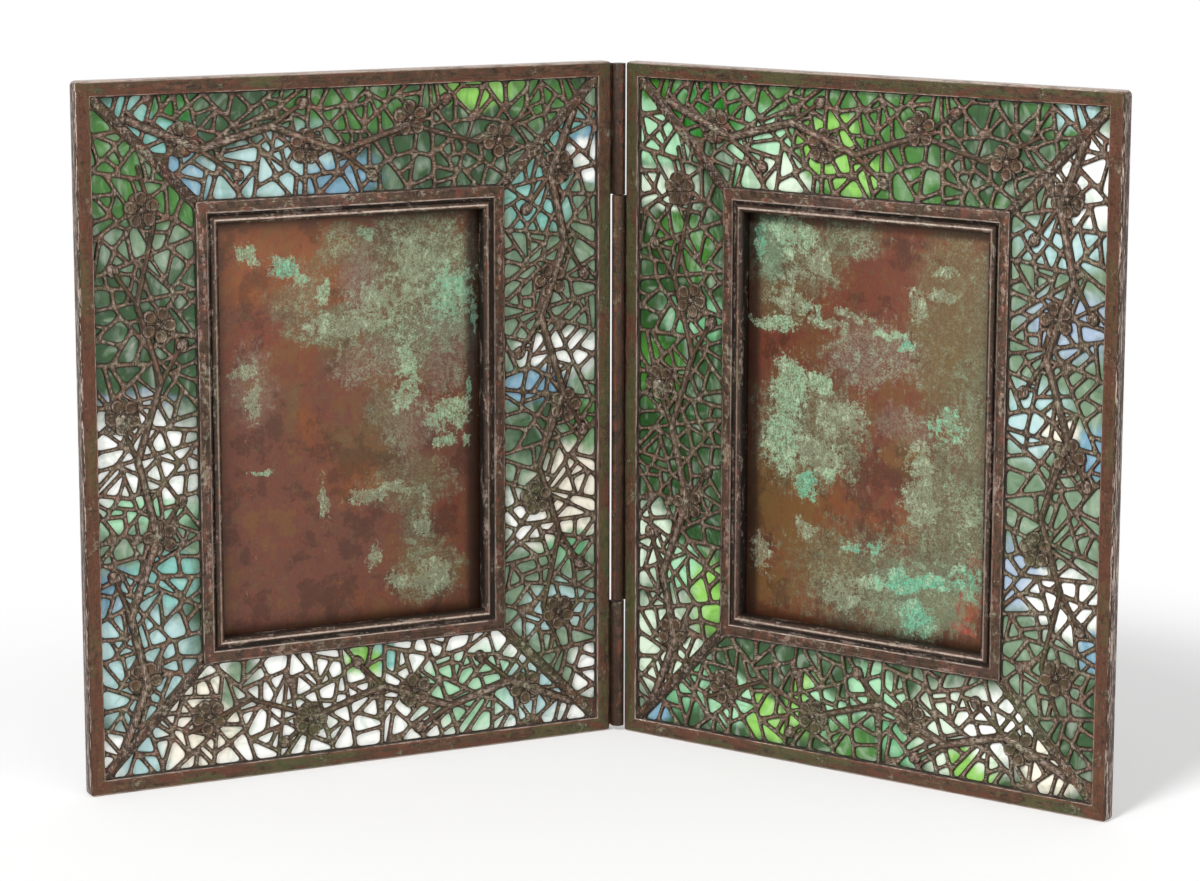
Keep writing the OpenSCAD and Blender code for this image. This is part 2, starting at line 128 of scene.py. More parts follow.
# Branches on each side, each a row of points: share of the run, share of the border's width,
# share of the thickest branch. The first row is the branch and the others are its twigs.
BRANCH_SHARES = {
    "left": [
        [
            (0.06, 0.2, 0.9), (0.15, 0.45, 1), (0.25, 0.3, 0.95), (0.36, 0.58, 0.9),
            (0.47, 0.4, 0.8), (0.58, 0.64, 0.7), (0.69, 0.42, 0.6), (0.8, 0.6, 0.5),
            (0.88, 0.45, 0.4),
        ],
        [(0.25, 0.3, 0.6), (0.31, 0.14, 0.4)],
        [(0.36, 0.58, 0.6), (0.41, 0.82, 0.4)],
        [(0.47, 0.4, 0.6), (0.53, 0.22, 0.4)],
        [(0.58, 0.64, 0.5), (0.63, 0.86, 0.4)],
        [(0.69, 0.42, 0.5), (0.74, 0.18, 0.4)],
    ],
    "right": [
        [
            (0.93, 0.25, 0.9), (0.84, 0.5, 1), (0.74, 0.34, 0.95), (0.63, 0.6, 0.9),
            (0.52, 0.36, 0.8), (0.41, 0.62, 0.7), (0.31, 0.4, 0.6), (0.2, 0.58, 0.5),
            (0.13, 0.38, 0.4),
        ],
        [(0.84, 0.5, 0.6), (0.79, 0.76, 0.4)],
        [(0.74, 0.34, 0.6), (0.69, 0.13, 0.4)],
        [(0.63, 0.6, 0.6), (0.58, 0.84, 0.4)],
        [(0.52, 0.36, 0.6), (0.46, 0.15, 0.4)],
        [(0.31, 0.4, 0.5), (0.26, 0.18, 0.4)],
    ],
    "top": [
        [
            (0.09, 0.22, 0.9), (0.22, 0.52, 1), (0.35, 0.34, 0.9), (0.48, 0.6, 0.8),
            (0.61, 0.38, 0.65), (0.74, 0.58, 0.5), (0.84, 0.32, 0.4),
        ],
        [(0.22, 0.52, 0.6), (0.29, 0.78, 0.4)],
        [(0.35, 0.34, 0.6), (0.41, 0.13, 0.4)],
        [(0.48, 0.6, 0.6), (0.54, 0.85, 0.4)],
        [(0.61, 0.38, 0.5), (0.68, 0.15, 0.4)],
    ],
    "bottom": [
        [
            (0.92, 0.2, 0.9), (0.8, 0.48, 1), (0.68, 0.3, 0.9), (0.55, 0.58, 0.8),
            (0.42, 0.36, 0.65), (0.3, 0.6, 0.5), (0.18, 0.34, 0.4),
        ],
        [(0.8, 0.48, 0.6), (0.74, 0.76, 0.4)],
        [(0.68, 0.3, 0.6), (0.62, 0.12, 0.4)],
        [(0.55, 0.58, 0.6), (0.5, 0.85, 0.4)],
        [(0.42, 0.36, 0.5), (0.36, 0.14, 0.4)],
    ],
}

# Blossoms on each side: share of the run, share of the border's width, turn in degrees
BLOSSOM_SHARES = {
    "left": [(0.16, 0.42, 10), (0.36, 0.6, 40), (0.535, 0.26, 25), (0.66, 0.62, 5), (0.82, 0.48, 50)],
    "right": [(0.85, 0.42, 20), (0.685, 0.5, 0), (0.5, 0.34, 35), (0.365, 0.66, 60), (0.19, 0.42, 15)],
    "top": [(0.19, 0.42, 15), (0.415, 0.54, 45), (0.61, 0.32, 30), (0.78, 0.56, 0)],
    "bottom": [(0.83, 0.4, 33), (0.61, 0.5, 12), (0.41, 0.34, 52), (0.22, 0.48, 24)],
}

# Colours of the glass, pane by pane: the ground, then patches laid over it in turn. A patch is
# its place as shares of the run and of the border's width, its reach along and across as shares
# of the border's width, and its colour.
GLASS_SHARES = {
    "left": {
        "top": ("moss", [
            (0.5, 0.3, 0.6, 0.25, "leaf"), (0.09, 0.29, 0.24, 0.22, "aqua"),
            (0.16, 0.56, 0.28, 0.24, "aqua"), (0.2, 0.8, 0.27, 0.2, "sky"),
            (0.3, 0.8, 0.34, 0.2, "ice"), (0.39, 0.74, 0.36, 0.28, "ice"),
            (0.48, 0.88, 0.34, 0.2, "sky"), (0.17, 0.22, 0.2, 0.14, "emerald"),
            (0.75, 0.2, 0.42, 0.15, "lime"), (0.88, 0.3, 0.3, 0.2, "leaf"),
        ]),
        "outer": ("moss", [
            (0.89, 0.3, 0.5, 0.42, "leaf"), (0.83, 0.85, 0.28, 0.2, "leaf"),
            (0.77, 0.6, 0.22, 0.4, "sage"), (0.553, 0.35, 0.09, 0.45, "slate"),
            (0.465, 0.45, 0.48, 0.55, "milk"), (0.39, 0.5, 0.2, 0.4, "mint"),
            (0.34, 0.5, 0.2, 0.55, "sage"), (0.27, 0.2, 0.28, 0.24, "sky"),
            (0.3, 0.65, 0.2, 0.3, "aqua"), (0.18, 0.45, 0.52, 0.5, "ice"),
            (0.05, 0.3, 0.22, 0.24, "milk"),
        ]),
        "bottom": ("milk", [
            (0.11, 0.3, 0.3, 0.3, "ice"), (0.22, 0.5, 0.42, 0.4, "cream"),
            (0.28, 0.8, 0.17, 0.25, "sage"), (0.38, 0.5, 0.45, 0.4, "milk"),
            (0.515, 0.9, 0.17, 0.15, "lime"), (0.555, 0.94, 0.12, 0.14, "aqua"),
            (0.72, 0.5, 0.5, 0.35, "mint"), (0.85, 0.45, 0.32, 0.28, "ice"),
            (0.94, 0.2, 0.2, 0.15, "milk"),
        ]),
        "hinge": ("sage", [
            (0.88, 0.2, 0.24, 0.24, "sky"), (0.91, 0.5, 0.2, 0.22, "aqua"),
            (0.86, 0.2, 0.12, 0.14, "milk"), (0.81, 0.7, 0.35, 0.3, "aqua"),
            (0.73, 0.45, 0.22, 0.45, "sage"), (0.58, 0.52, 0.22, 0.35, "milk"),
            (0.53, 0.7, 0.17, 0.32, "sky"), (0.47, 0.7, 0.24, 0.28, "moss"),
            (0.47, 0.2, 0.27, 0.22, "leaf"), (0.39, 0.35, 0.25, 0.35, "cream"),
            (0.33, 0.4, 0.32, 0.45, "cream"), (0.33, 0.8, 0.25, 0.17, "milk"),
            (0.28, 0.4, 0.13, 0.25, "jade"), (0.19, 0.5, 0.24, 0.32, "ice"),
            (0.14, 0.45, 0.15, 0.25, "sage"), (0.1, 0.17, 0.22, 0.17, "milk"),
        ]),
    },
    "right": {
        "top": ("leaf", [
            (0.16, 0.42, 0.34, 0.32, "emerald"), (0.2, 0.78, 0.2, 0.2, "moss"),
            (0.29, 0.67, 0.3, 0.32, "mint"), (0.33, 0.88, 0.32, 0.14, "frost"),
            (0.43, 0.6, 0.3, 0.2, "lime"), (0.48, 0.82, 0.28, 0.15, "lime"),
            (0.76, 0.55, 0.6, 0.4, "moss"), (0.91, 0.2, 0.22, 0.12, "ice"),
        ]),
        "outer": ("sage", [
            (0.88, 0.31, 0.38, 0.34, "milk"), (0.79, 0.53, 0.2, 0.42, "ice"),
            (0.68, 0.46, 0.27, 0.38, "lilac"), (0.55, 0.75, 0.32, 0.3, "ice"),
            (0.51, 0.17, 0.24, 0.17, "sky"), (0.53, 0.5, 0.16, 0.16, "cream"),
            (0.32, 0.85, 0.28, 0.2, "lilac"), (0.29, 0.41, 0.28, 0.38, "milk"),
            (0.235, 0.19, 0.13, 0.14, "sky"), (0.125, 0.24, 0.42, 0.27, "moss"),
        ]),
        "bottom": ("moss", [
            (0.066, 0.24, 0.16, 0.14, "sky"), (0.13, 0.5, 0.27, 0.22, "jade"),
            (0.24, 0.43, 0.24, 0.22, "mint"), (0.31, 0.34, 0.17, 0.22, "lime"),
            (0.39, 0.48, 0.18, 0.22, "lime"), (0.44, 0.45, 0.22, 0.2, "mint"),
            (0.48, 0.3, 0.25, 0.2, "leaf"), (0.54, 0.7, 0.27, 0.22, "mint"),
            (0.6, 0.34, 0.27, 0.2, "jade"), (0.7, 0.46, 0.42, 0.42, "frost"),
            (0.74, 0.25, 0.24, 0.16, "lime"), (0.8, 0.6, 0.36, 0.32, "milk"),
            (0.89, 0.4, 0.3, 0.25, "cream"),
        ]),
        "hinge": ("moss", [
            (0.95, 0.5, 0.2, 0.5, "leaf"), (0.74, 0.6, 0.3, 0.3, "leaf"),
            (0.55, 0.3, 0.3, 0.3, "leaf"), (0.9, 0.34, 0.28, 0.42, "mint"),
            (0.82, 0.42, 0.17, 0.34, "frost"), (0.69, 0.3, 0.28, 0.35, "moss"),
            (0.63, 0.7, 0.2, 0.3, "jade"), (0.42, 0.45, 0.27, 0.55, "moss"),
            (0.29, 0.24, 0.32, 0.24, "frost"), (0.26, 0.55, 0.22, 0.27, "mint"),
            (0.23, 0.84, 0.32, 0.2, "lime"), (0.14, 0.39, 0.42, 0.4, "frost"),
        ]),
    },
}

# Veils of verdigris on the back plates: place as shares of the window's width and height, from its
# lower left corner, reach across and up as shares of the same, strength, colour
VEIL_SHARES = {
    "left": [
        (0.78, 0.84, 0.24, 0.2, 0.8, "moss"), (0.53, 0.85, 0.07, 0.1, 0.6, "mauve"),
        (0.86, 0.66, 0.16, 0.11, 0.7, "mauve"), (0.7, 0.69, 0.13, 0.1, 0.8, "moss"),
        (0.46, 0.73, 0.18, 0.05, 0.9, "moss"), (0.62, 0.52, 0.08, 0.06, 0.6, "moss"),
        (0.72, 0.34, 0.17, 0.07, 0.5, "moss"), (0.8, 0.1, 0.14, 0.07, 0.6, "moss"),
        (0.13, 0.6, 0.08, 0.1, 0.35, "mauve"), (0.48, 0.93, 0.1, 0.06, 0.6, "moss"),
        (0.58, 0.64, 0.14, 0.06, 0.7, "mauve"), (0.72, 0.48, 0.12, 0.08, 0.6, "mauve"),
        (0.76, 0.24, 0.07, 0.12, 0.6, "moss"), (0.3, 0.8, 0.12, 0.05, 0.5, "moss"),
        (0.84, 0.88, 0.16, 0.1, 0.18, "mint"), (0.9, 0.76, 0.1, 0.1, 0.2, "turquoise"),
        (0.54, 0.8, 0.05, 0.12, 0.6, "mauve"), (0.36, 0.86, 0.08, 0.05, 0.3, "moss"),
    ],
    "right": [
        (0.88, 0.75, 0.22, 0.3, 0.8, "olive"), (0.96, 0.6, 0.08, 0.4, 0.5, "moss"),
        (0.9, 0.38, 0.2, 0.3, 0.65, "moss"), (0.2, 0.9, 0.22, 0.1, 0.7, "moss"),
        (0.7, 0.1, 0.24, 0.1, 0.35, "turquoise"), (0.08, 0.92, 0.08, 0.1, 0.35, "turquoise"),
        (0.42, 0.96, 0.14, 0.05, 0.8, "moss"), (0.14, 0.78, 0.14, 0.06, 0.9, "olive"),
        (0.52, 0.68, 0.2, 0.08, 0.9, "mauve"), (0.26, 0.48, 0.24, 0.15, 0.8, "moss"),
        (0.64, 0.52, 0.12, 0.05, 0.6, "mauve"), (0.82, 0.3, 0.18, 0.16, 0.8, "moss"),
        (0.55, 0.12, 0.36, 0.14, 0.7, "moss"), (0.85, 0.9, 0.1, 0.12, 0.6, "olive"),
    ],
}

# Crusts of verdigris by their colour: place, reach and strength, as for the veils
CRUST_SHARES = {
    "left": {
        "chalk": [
            (0.8, 0.86, 0.2, 0.14, 0.42), (0.47, 0.735, 0.15, 0.03, 0.75),
            (0.62, 0.78, 0.12, 0.06, 0.55), (0.56, 0.305, 0.09, 0.018, 0.8),
            (0.66, 0.32, 0.08, 0.02, 0.6), (0.78, 0.22, 0.035, 0.03, 0.7),
            (0.79, 0.28, 0.016, 0.05, 0.65), (0.81, 0.09, 0.09, 0.045, 0.6),
            (0.69, 0.1, 0.05, 0.03, 0.55), (0.58, 0.16, 0.03, 0.02, 0.7),
            (0.1, 0.635, 0.04, 0.025, 0.65), (0.14, 0.565, 0.03, 0.04, 0.65),
            (0.4, 0.31, 0.02, 0.05, 0.65),
        ],
        "mint": [
            (0.72, 0.6, 0.06, 0.11, 0.6), (0.88, 0.5, 0.09, 0.045, 0.75),
            (0.86, 0.43, 0.035, 0.018, 0.9), (0.95, 0.43, 0.022, 0.015, 0.9),
            (0.12, 0.925, 0.045, 0.022, 0.8), (0.3, 0.855, 0.03, 0.02, 0.85),
            (0.41, 0.815, 0.03, 0.03, 0.8), (0.565, 0.955, 0.02, 0.02, 0.9),
            (0.155, 0.39, 0.035, 0.01, 0.9),
        ],
        "turquoise": [
            (0.9, 0.8, 0.1, 0.08, 0.5), (0.25, 0.88, 0.05, 0.03, 0.8), (0.98, 0.74, 0.012, 0.04, 1),
            (0.97, 0.55, 0.012, 0.03, 0.9),
        ],
    },
    "right": {
        "chalk": [
            (0.29, 0.89, 0.05, 0.035, 0.75), (0.2, 0.85, 0.1, 0.02, 0.55),
            (0.16, 0.79, 0.1, 0.04, 0.55), (0.33, 0.745, 0.08, 0.012, 0.85),
            (0.43, 0.775, 0.07, 0.01, 0.85), (0.81, 0.89, 0.05, 0.014, 0.9),
            (0.82, 0.84, 0.05, 0.012, 0.9), (0.71, 0.815, 0.035, 0.035, 0.7),
            (0.4, 0.52, 0.11, 0.045, 0.8), (0.29, 0.42, 0.11, 0.05, 0.7),
            (0.725, 0.335, 0.07, 0.055, 0.8), (0.72, 0.43, 0.07, 0.06, 0.5),
            (0.06, 0.16, 0.05, 0.05, 0.65), (0.25, 0.235, 0.05, 0.02, 0.6),
            (0.42, 0.09, 0.1, 0.05, 0.55), (0.93, 0.32, 0.07, 0.08, 0.4),
        ],
        "mint": [
            (0.18, 0.955, 0.09, 0.05, 0.75), (0.1, 0.735, 0.1, 0.012, 0.9),
            (0.25, 0.775, 0.025, 0.015, 0.95), (0.3, 0.76, 0.02, 0.015, 0.95),
            (0.58, 0.735, 0.06, 0.012, 0.85), (0.18, 0.585, 0.07, 0.07, 0.95),
            (0.3, 0.6, 0.07, 0.02, 0.75), (0.15, 0.46, 0.07, 0.1, 0.75),
            (0.36, 0.37, 0.03, 0.02, 0.9), (0.55, 0.13, 0.06, 0.015, 0.7),
        ],
        "turquoise": [
            (0.04, 0.93, 0.03, 0.05, 0.75), (0.66, 0.715, 0.03, 0.018, 1),
            (0.26, 0.34, 0.05, 0.03, 0.85), (0.82, 0.53, 0.08, 0.05, 0.5),
            (0.7, 0.14, 0.14, 0.022, 1), (0.72, 0.055, 0.07, 0.05, 0.85),
            (0.5, 0.21, 0.1, 0.02, 0.6), (0.92, 0.16, 0.08, 0.04, 0.6),
        ],
    },
}

# Stains of the copper: place and reach as for the veils, colour
STAIN_SHARES = {
    "left": [
        (0.16, 0.93, 0.34, 0.14, "amber"), (0.42, 0.88, 0.12, 0.14, "amber"),
        (0.42, 0.66, 0.16, 0.05, "olive"), (0.34, 0.6, 0.04, 0.15, "amber"),
        (0.24, 0.56, 0.07, 0.1, "olive"), (0.58, 0.45, 0.16, 0.1, "olive"),
        (0.5, 0.36, 0.18, 0.05, "amber"), (0.54, 0.29, 0.14, 0.025, "amber"),
        (0.72, 0.13, 0.14, 0.06, "amber"), (0.2, 0.68, 0.2, 0.09, "brick"),
        (0.55, 0.57, 0.16, 0.06, "brick"), (0.9, 0.3, 0.12, 0.08, "brick"),
        (0.68, 0.375, 0.05, 0.03, "brick"), (0.22, 0.2, 0.3, 0.22, "plum"),
        (0.6, 0.2, 0.2, 0.12, "plum"), (0.14, 0.52, 0.14, 0.14, "plum"),
        (0.48, 0.58, 0.16, 0.08, "plum"), (0.84, 0.4, 0.14, 0.1, "plum"),
    ],
    "right": [
        (0.56, 0.86, 0.2, 0.1, "brick"), (0.24, 0.68, 0.26, 0.06, "brick"),
        (0.6, 0.59, 0.2, 0.06, "brick"), (0.06, 0.87, 0.03, 0.06, "brick"),
        (0.08, 0.62, 0.08, 0.12, "brick"), (0.1, 0.28, 0.14, 0.09, "olive"),
        (0.3, 0.27, 0.16, 0.12, "amber"), (0.2, 0.1, 0.24, 0.12, "amber"),
        (0.62, 0.29, 0.16, 0.06, "amber"), (0.58, 0.4, 0.12, 0.1, "brick"),
        (0.8, 0.72, 0.12, 0.1, "olive"), (0.84, 0.07, 0.08, 0.05, "amber"),
        (0.14, 0.32, 0.2, 0.12, "ochre"), (0.3, 0.16, 0.2, 0.08, "ochre"),
        (0.1, 0.08, 0.14, 0.05, "ochre"), (0.45, 0.66, 0.16, 0.04, "plum"),
        (0.66, 0.45, 0.1, 0.06, "ochre"), (0.86, 0.66, 0.1, 0.06, "ochre"),
        (0.92, 0.1, 0.05, 0.035, "coral"), (0.97, 0.48, 0.012, 0.02, "coral"),
        (0.96, 0.23, 0.02, 0.03, "coral"), (0.9, 0.04, 0.05, 0.015, "coral"),
    ],
}


def colour_prop(name, description, red, green, blue):
    """A colour property whose default is given as it looks on a screen, from 0 to 255."""
    shares = [value / 255 for value in (red, green, blue)]
    linear = [((s + 0.055) / 1.055) ** 2.4 if s > 0.04045 else s / 12.92 for s in shares]
    return bpy.props.FloatVectorProperty(
        name=name, description=description, default=linear, subtype="COLOR", min=0, max=1
    )


def length_prop(name, description, millimetres):
    """A length property, in metres, whose default is given in millimetres."""
    return bpy.props.FloatProperty(
        name=name, description=description, default=millimetres / PER_METRE, unit="LENGTH",
        precision=5
    )


def strength_prop(name, description, default):
    return bpy.props.FloatProperty(name=name, description=description, default=default, min=0)


def angle_prop(name, description, degrees):
    """An angle property whose default is given in degrees."""
    return bpy.props.FloatProperty(
        name=name, description=description, default=math.radians(degrees), unit="ROTATION"
    )


def turn_prop(name, description, *degrees):
    """A turn about x, y and z, whose default is given in degrees."""
    return bpy.props.FloatVectorProperty(
        name=name, description=description, subtype="EULER",
        default=[math.radians(angle) for angle in degrees]
    )


class LeafSizes(bpy.types.PropertyGroup):
    """Sizes of a leaf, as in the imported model."""

    width: length_prop("Width", "Width of one leaf", 197)
    height: length_prop("Height", "Height of one leaf", 241)
    border: length_prop("Border", "Width of the border, from the leaf's edge to the moulding", 41.5)
    rim: length_prop("Rim", "Width of the rim's front flange", 5.3)
    band: length_prop("Band", "Width of the moulding's flat band", 4.2)
    groove: length_prop("Groove", "Width of the moulding's groove", 0.9)
    bead: length_prop("Bead", "Width of the moulding's round bead", 3)
    sheet_depth: length_prop("Sheet depth", "Depth of the pierced sheet behind the leaf's front", 1.2)
    hinge_gap: length_prop("Hinge gap", "Distance from the pin's axis to the leaf's edge", 2.7)
    pin_proud: length_prop("Pin before leaf", "Distance of the pin's axis before the leaf's front", 0.15)
    fold: angle_prop("Fold", "Angle of each leaf from lying flat open", 32)


class ReliefSizes(bpy.types.PropertyGroup):
    """Sizes of what is raised or rounded on the leaves."""

    branch: length_prop("Branch", "Width of the thickest branch", 3.4)
    branch_rise: length_prop("Branch rise", "Height of the thickest branch over the sheet", 0.75)
    bark: length_prop("Bark", "Height of the bark's lumps", 0.16)
    petal: length_prop("Petal", "Radius of a petal", 2.4)
    petal_out: length_prop("Petal place", "Distance from a blossom's middle to a petal's middle", 3.9)
    petal_rise: length_prop("Petal rise", "Height of a petal over the sheet", 0.6)
    bud: length_prop("Bud", "Radius of a bud", 2.2)
    etch_edge: length_prop("Etched edge", "Width of the soft edge round each opening", 0.28)
    etch_corner: bpy.props.FloatProperty(
        name="Etched corner", description="Part of a side that an opening's round corner takes",
        default=24, subtype="PERCENTAGE", min=0, max=45
    )
    worn_edge: length_prop("Worn edge", "Width of the rounding along a bar's edges", 0.25)
    seam_edge: length_prop("Seam edge", "Width of the rounding along a corner seam", 0.5)
    plate_edge: length_prop("Plate edge", "Width of the rounding on plates and rails", 0.15)
    knuckle_edge: length_prop("Knuckle edge", "Width of the rounding on the hinge", 0.2)
    solder: length_prop("Solder", "Radius of the solder at a moulding's corner", 1.8)
    seam_lump: length_prop("Solder lumps", "Height of the lumps along a corner seam", 0.22)


class BronzeColours(bpy.types.PropertyGroup):
    """Colours of the patinated metal."""

    brown: colour_prop("Brown", "The patina's main brown", 80, 59, 41)
    # Umber is also laid on sloping sides as painted shade
    umber: colour_prop("Umber", "Darker brown of the patina", 48, 35, 25)
    taupe: colour_prop("Taupe", "Greyer brown of the pierced sheets", 86, 73, 53)
    rose: colour_prop("Rose", "Redder brown, where the patina is thin", 116, 72, 56)
    mauve: colour_prop("Mauve", "Brown of the window mouldings", 84, 60, 51)
    green: colour_prop("Green", "Green tint of the rims", 72, 80, 44)
    rust: colour_prop("Rust", "Red-brown of edges and thin places", 114, 60, 42)
    lichen: colour_prop("Lichen", "Pale grey-green of rubbed places", 134, 135, 110)
    # Bare metal is real wear, and also the colour of painted highlights on edges and crests
    bare_and_highlight: colour_prop("Bare metal", "Worn edges", 208, 188, 174)
    # Soot is the dark of specks in the grain, and also the colour of the painted shade on walls and in
    # recesses
    soot_and_shade: colour_prop("Soot", "Dirt in grooves and on cut walls", 26, 18, 13)
    brass: colour_prop("Brass", "Rails and pin", 98, 80, 50)


class GlassColours(bpy.types.PropertyGroup):
    """Colours of the opal glass."""

    moss: colour_prop("Moss", "Deep green", 38, 76, 32)
    emerald: colour_prop("Emerald", "Strong green", 24, 118, 20)
    leaf: colour_prop("Leaf", "Middle green", 62, 120, 40)
    lime: colour_prop("Lime", "Yellow-green", 138, 198, 86)
    sage: colour_prop("Sage", "Grey-green", 112, 138, 108)
    jade: colour_prop("Jade", "Cool green", 104, 170, 120)
    mint: colour_prop("Mint", "Pale green", 164, 216, 174)
    aqua: colour_prop("Aqua", "Green-blue", 130, 192, 182)
    sky: colour_prop("Sky", "Blue", 116, 160, 184)
    ice: colour_prop("Ice", "Pale blue", 176, 210, 210)
    lilac: colour_prop("Lilac", "Grey-violet blue", 160, 178, 200)
    slate: colour_prop("Slate", "Grey-blue", 92, 116, 132)
    frost: colour_prop("Frost", "White with a breath of green", 214, 231, 208)
    milk: colour_prop("Milk", "White", 252, 253, 249)
    cream: colour_prop("Cream", "Warm white", 246, 238, 220)


class PlateColours(bpy.types.PropertyGroup):
    """Colours of the copper back plates."""

    copper: colour_prop("Copper", "Brown-red of the aged copper", 103, 63, 44)
    brick: colour_prop("Brick", "Redder places", 112, 58, 41)
    amber: colour_prop("Amber", "Orange-brown places", 130, 75, 36)
    olive: colour_prop("Olive", "Olive-brown places", 103, 84, 51)
    plum: colour_prop("Plum", "Violet-brown places", 105, 63, 51)
    ochre: colour_prop("Ochre", "Yellow-brown places", 116, 86, 42)
    coral: colour_prop("Coral", "Fresh red places", 178, 80, 66)
    moss: colour_prop("Moss", "Grey-green veil over the copper", 97, 95, 69)
    mauve: colour_prop("Mauve", "Greyish rose veil over the copper", 118, 90, 80)
    chalk: colour_prop("Chalk", "Pale verdigris", 134, 141, 114)
    mint: colour_prop("Mint", "Thick pale green verdigris", 146, 184, 148)
    turquoise: colour_prop("Turquoise", "Bright verdigris", 104, 190, 154)
    frost: colour_prop("Frost", "Palest lines where verdigris ends", 186, 204, 168)
    # Shade is painted shadow, with dirt, along the window's edges and the hinge side, and the dark of
    # stains and pits elsewhere
    shade: colour_prop("Shade", "Dirt along the window's edges", 36, 21, 12)


class StageSettings(bpy.types.PropertyGroup):
    """Camera, floor and light."""

    camera_place: bpy.props.FloatVectorProperty(
        name="Camera place", description="Where the camera stands", subtype="TRANSLATION",
        unit="LENGTH", default=(0.0996, -1.2328, 0.3415)
    )
    camera_turn: turn_prop("Camera turn", "Pitch, roll and yaw of the camera", 79.64, -0.11, 4.74)
    lens: bpy.props.FloatProperty(
        name="Lens", description="Focal length for a sensor 36 mm wide", default=110.3, unit="CAMERA"
    )
    floor_colour: colour_prop("Floor", "Colour of the floor", 250, 250, 250)
    floor_reach: length_prop("Floor reach", "Distance from the floor's middle to its edge", 8000)
    fade_start: length_prop("Fade start", "Distance at which the floor starts to fade", 150)
    fade_end: length_prop("Fade end", "Distance at which the floor is white", 450)
    ambient: strength_prop("Ambient", "Light from all round", 0.54)
    key: strength_prop("Key", "Strength of the main lamp", 2.25)
    key_spread: angle_prop("Key spread", "Width of the main lamp in the sky", 14)
    key_turn: turn_prop("Key turn", "Direction of the main lamp", 50, 0, -30)
    fill: strength_prop("Fill", "Strength of the second lamp", 0.68)
    fill_spread: angle_prop("Fill spread", "Width of the second lamp in the sky", 50)
    fill_turn: turn_prop("Fill turn", "Direction of the second lamp", 62, 0, 42)


def in_mm(length):
    return length * PER_METRE


class Leaf:
    """One leaf in its own millimetres: x from its left edge, y from front to back, z from its foot."""

    def __init__(self, name):
        sizes = bpy.context.scene.leaf_sizes
        self.name = name
        self.body = name + "_leaf"
        self.width = in_mm(sizes.width)
        self.height = in_mm(sizes.height)
        self.border = in_mm(sizes.border)
        self.rim = in_mm(sizes.rim)
        self.sheet_y = in_mm(sizes.sheet_depth)
        self.band_end = self.border + in_mm(sizes.band)
        self.bead_start = self.band_end + in_mm(sizes.groove)
        self.sight = self.bead_start + in_mm(sizes.bead)
        edge = -in_mm(sizes.width + sizes.hinge_gap) if name == "left" else in_mm(sizes.hinge_gap)
        fold = sizes.fold if name == "left" else -sizes.fold
        self.matrix = (
            Matrix.Translation((HINGE.x, HINGE.y, 0))
            @ Matrix.Rotation(fold, 4, "Z")
            @ Matrix.Scale(1 / PER_METRE, 4)
            @ Matrix.Translation((edge, in_mm(sizes.pin_proud), 0))
        )

    def nodes(self, kind):
        return [f"{self.name}_{kind}_{side}" for side in SIDES]

    def from_outer(self, x):
        """Distance in from the leaf's outer edge."""
        return x if self.name == "left" else self.width - x

    def from_hinge(self, x):
        """Distance in from the leaf's edge at the hinge."""
        return self.width - x if self.name == "left" else x

    def seen(self, side):
        """The side as seen from the front."""
        if side == "outer":
            return self.name
        if side == "hinge":
            return "right" if self.name == "left" else "left"
        return side

    def run(self, seen):
        return self.height if seen in ("left", "right") else self.width

    def spot(self, seen, along, inset):
        """A place on the leaf from its distance along a side and in from the leaf's edge."""
        places = {
            "left": (inset, along),
            "right": (self.width - inset, along),
            "bottom": (along, inset),
            "top": (along, self.height - inset),
        }
        x, z = places[seen]
        return Vector((x, 0, z))

    def share_spot(self, seen, along_share, border_share):
        """A place from shares of the run and of the open border between rim and moulding."""
        inset = self.rim + border_share * (self.border - self.rim)
        return self.spot(seen, along_share * self.run(seen), inset)


# The Mix node has several sockets of one name, so its colour sockets go by their numbers.
MIX_SHARE, MIX_FIRST, MIX_SECOND, MIX_RESULT = 0, 6, 7, 2


class Value:
    """An output of a shader node. Sums, differences and products with it add Math nodes."""

    def __init__(self, nodes, socket):
        self.nodes = nodes
        self.socket = socket

    def __add__(self, other):
        return self.nodes.maths("ADD", self, other)

    __radd__ = __add__

    def __sub__(self, other):
        return self.nodes.maths("SUBTRACT", self, other)

    def __rsub__(self, other):
        return self.nodes.maths("SUBTRACT", other, self)

    def __mul__(self, other):
        return self.nodes.maths("MULTIPLY", self, other)

    __rmul__ = __mul__


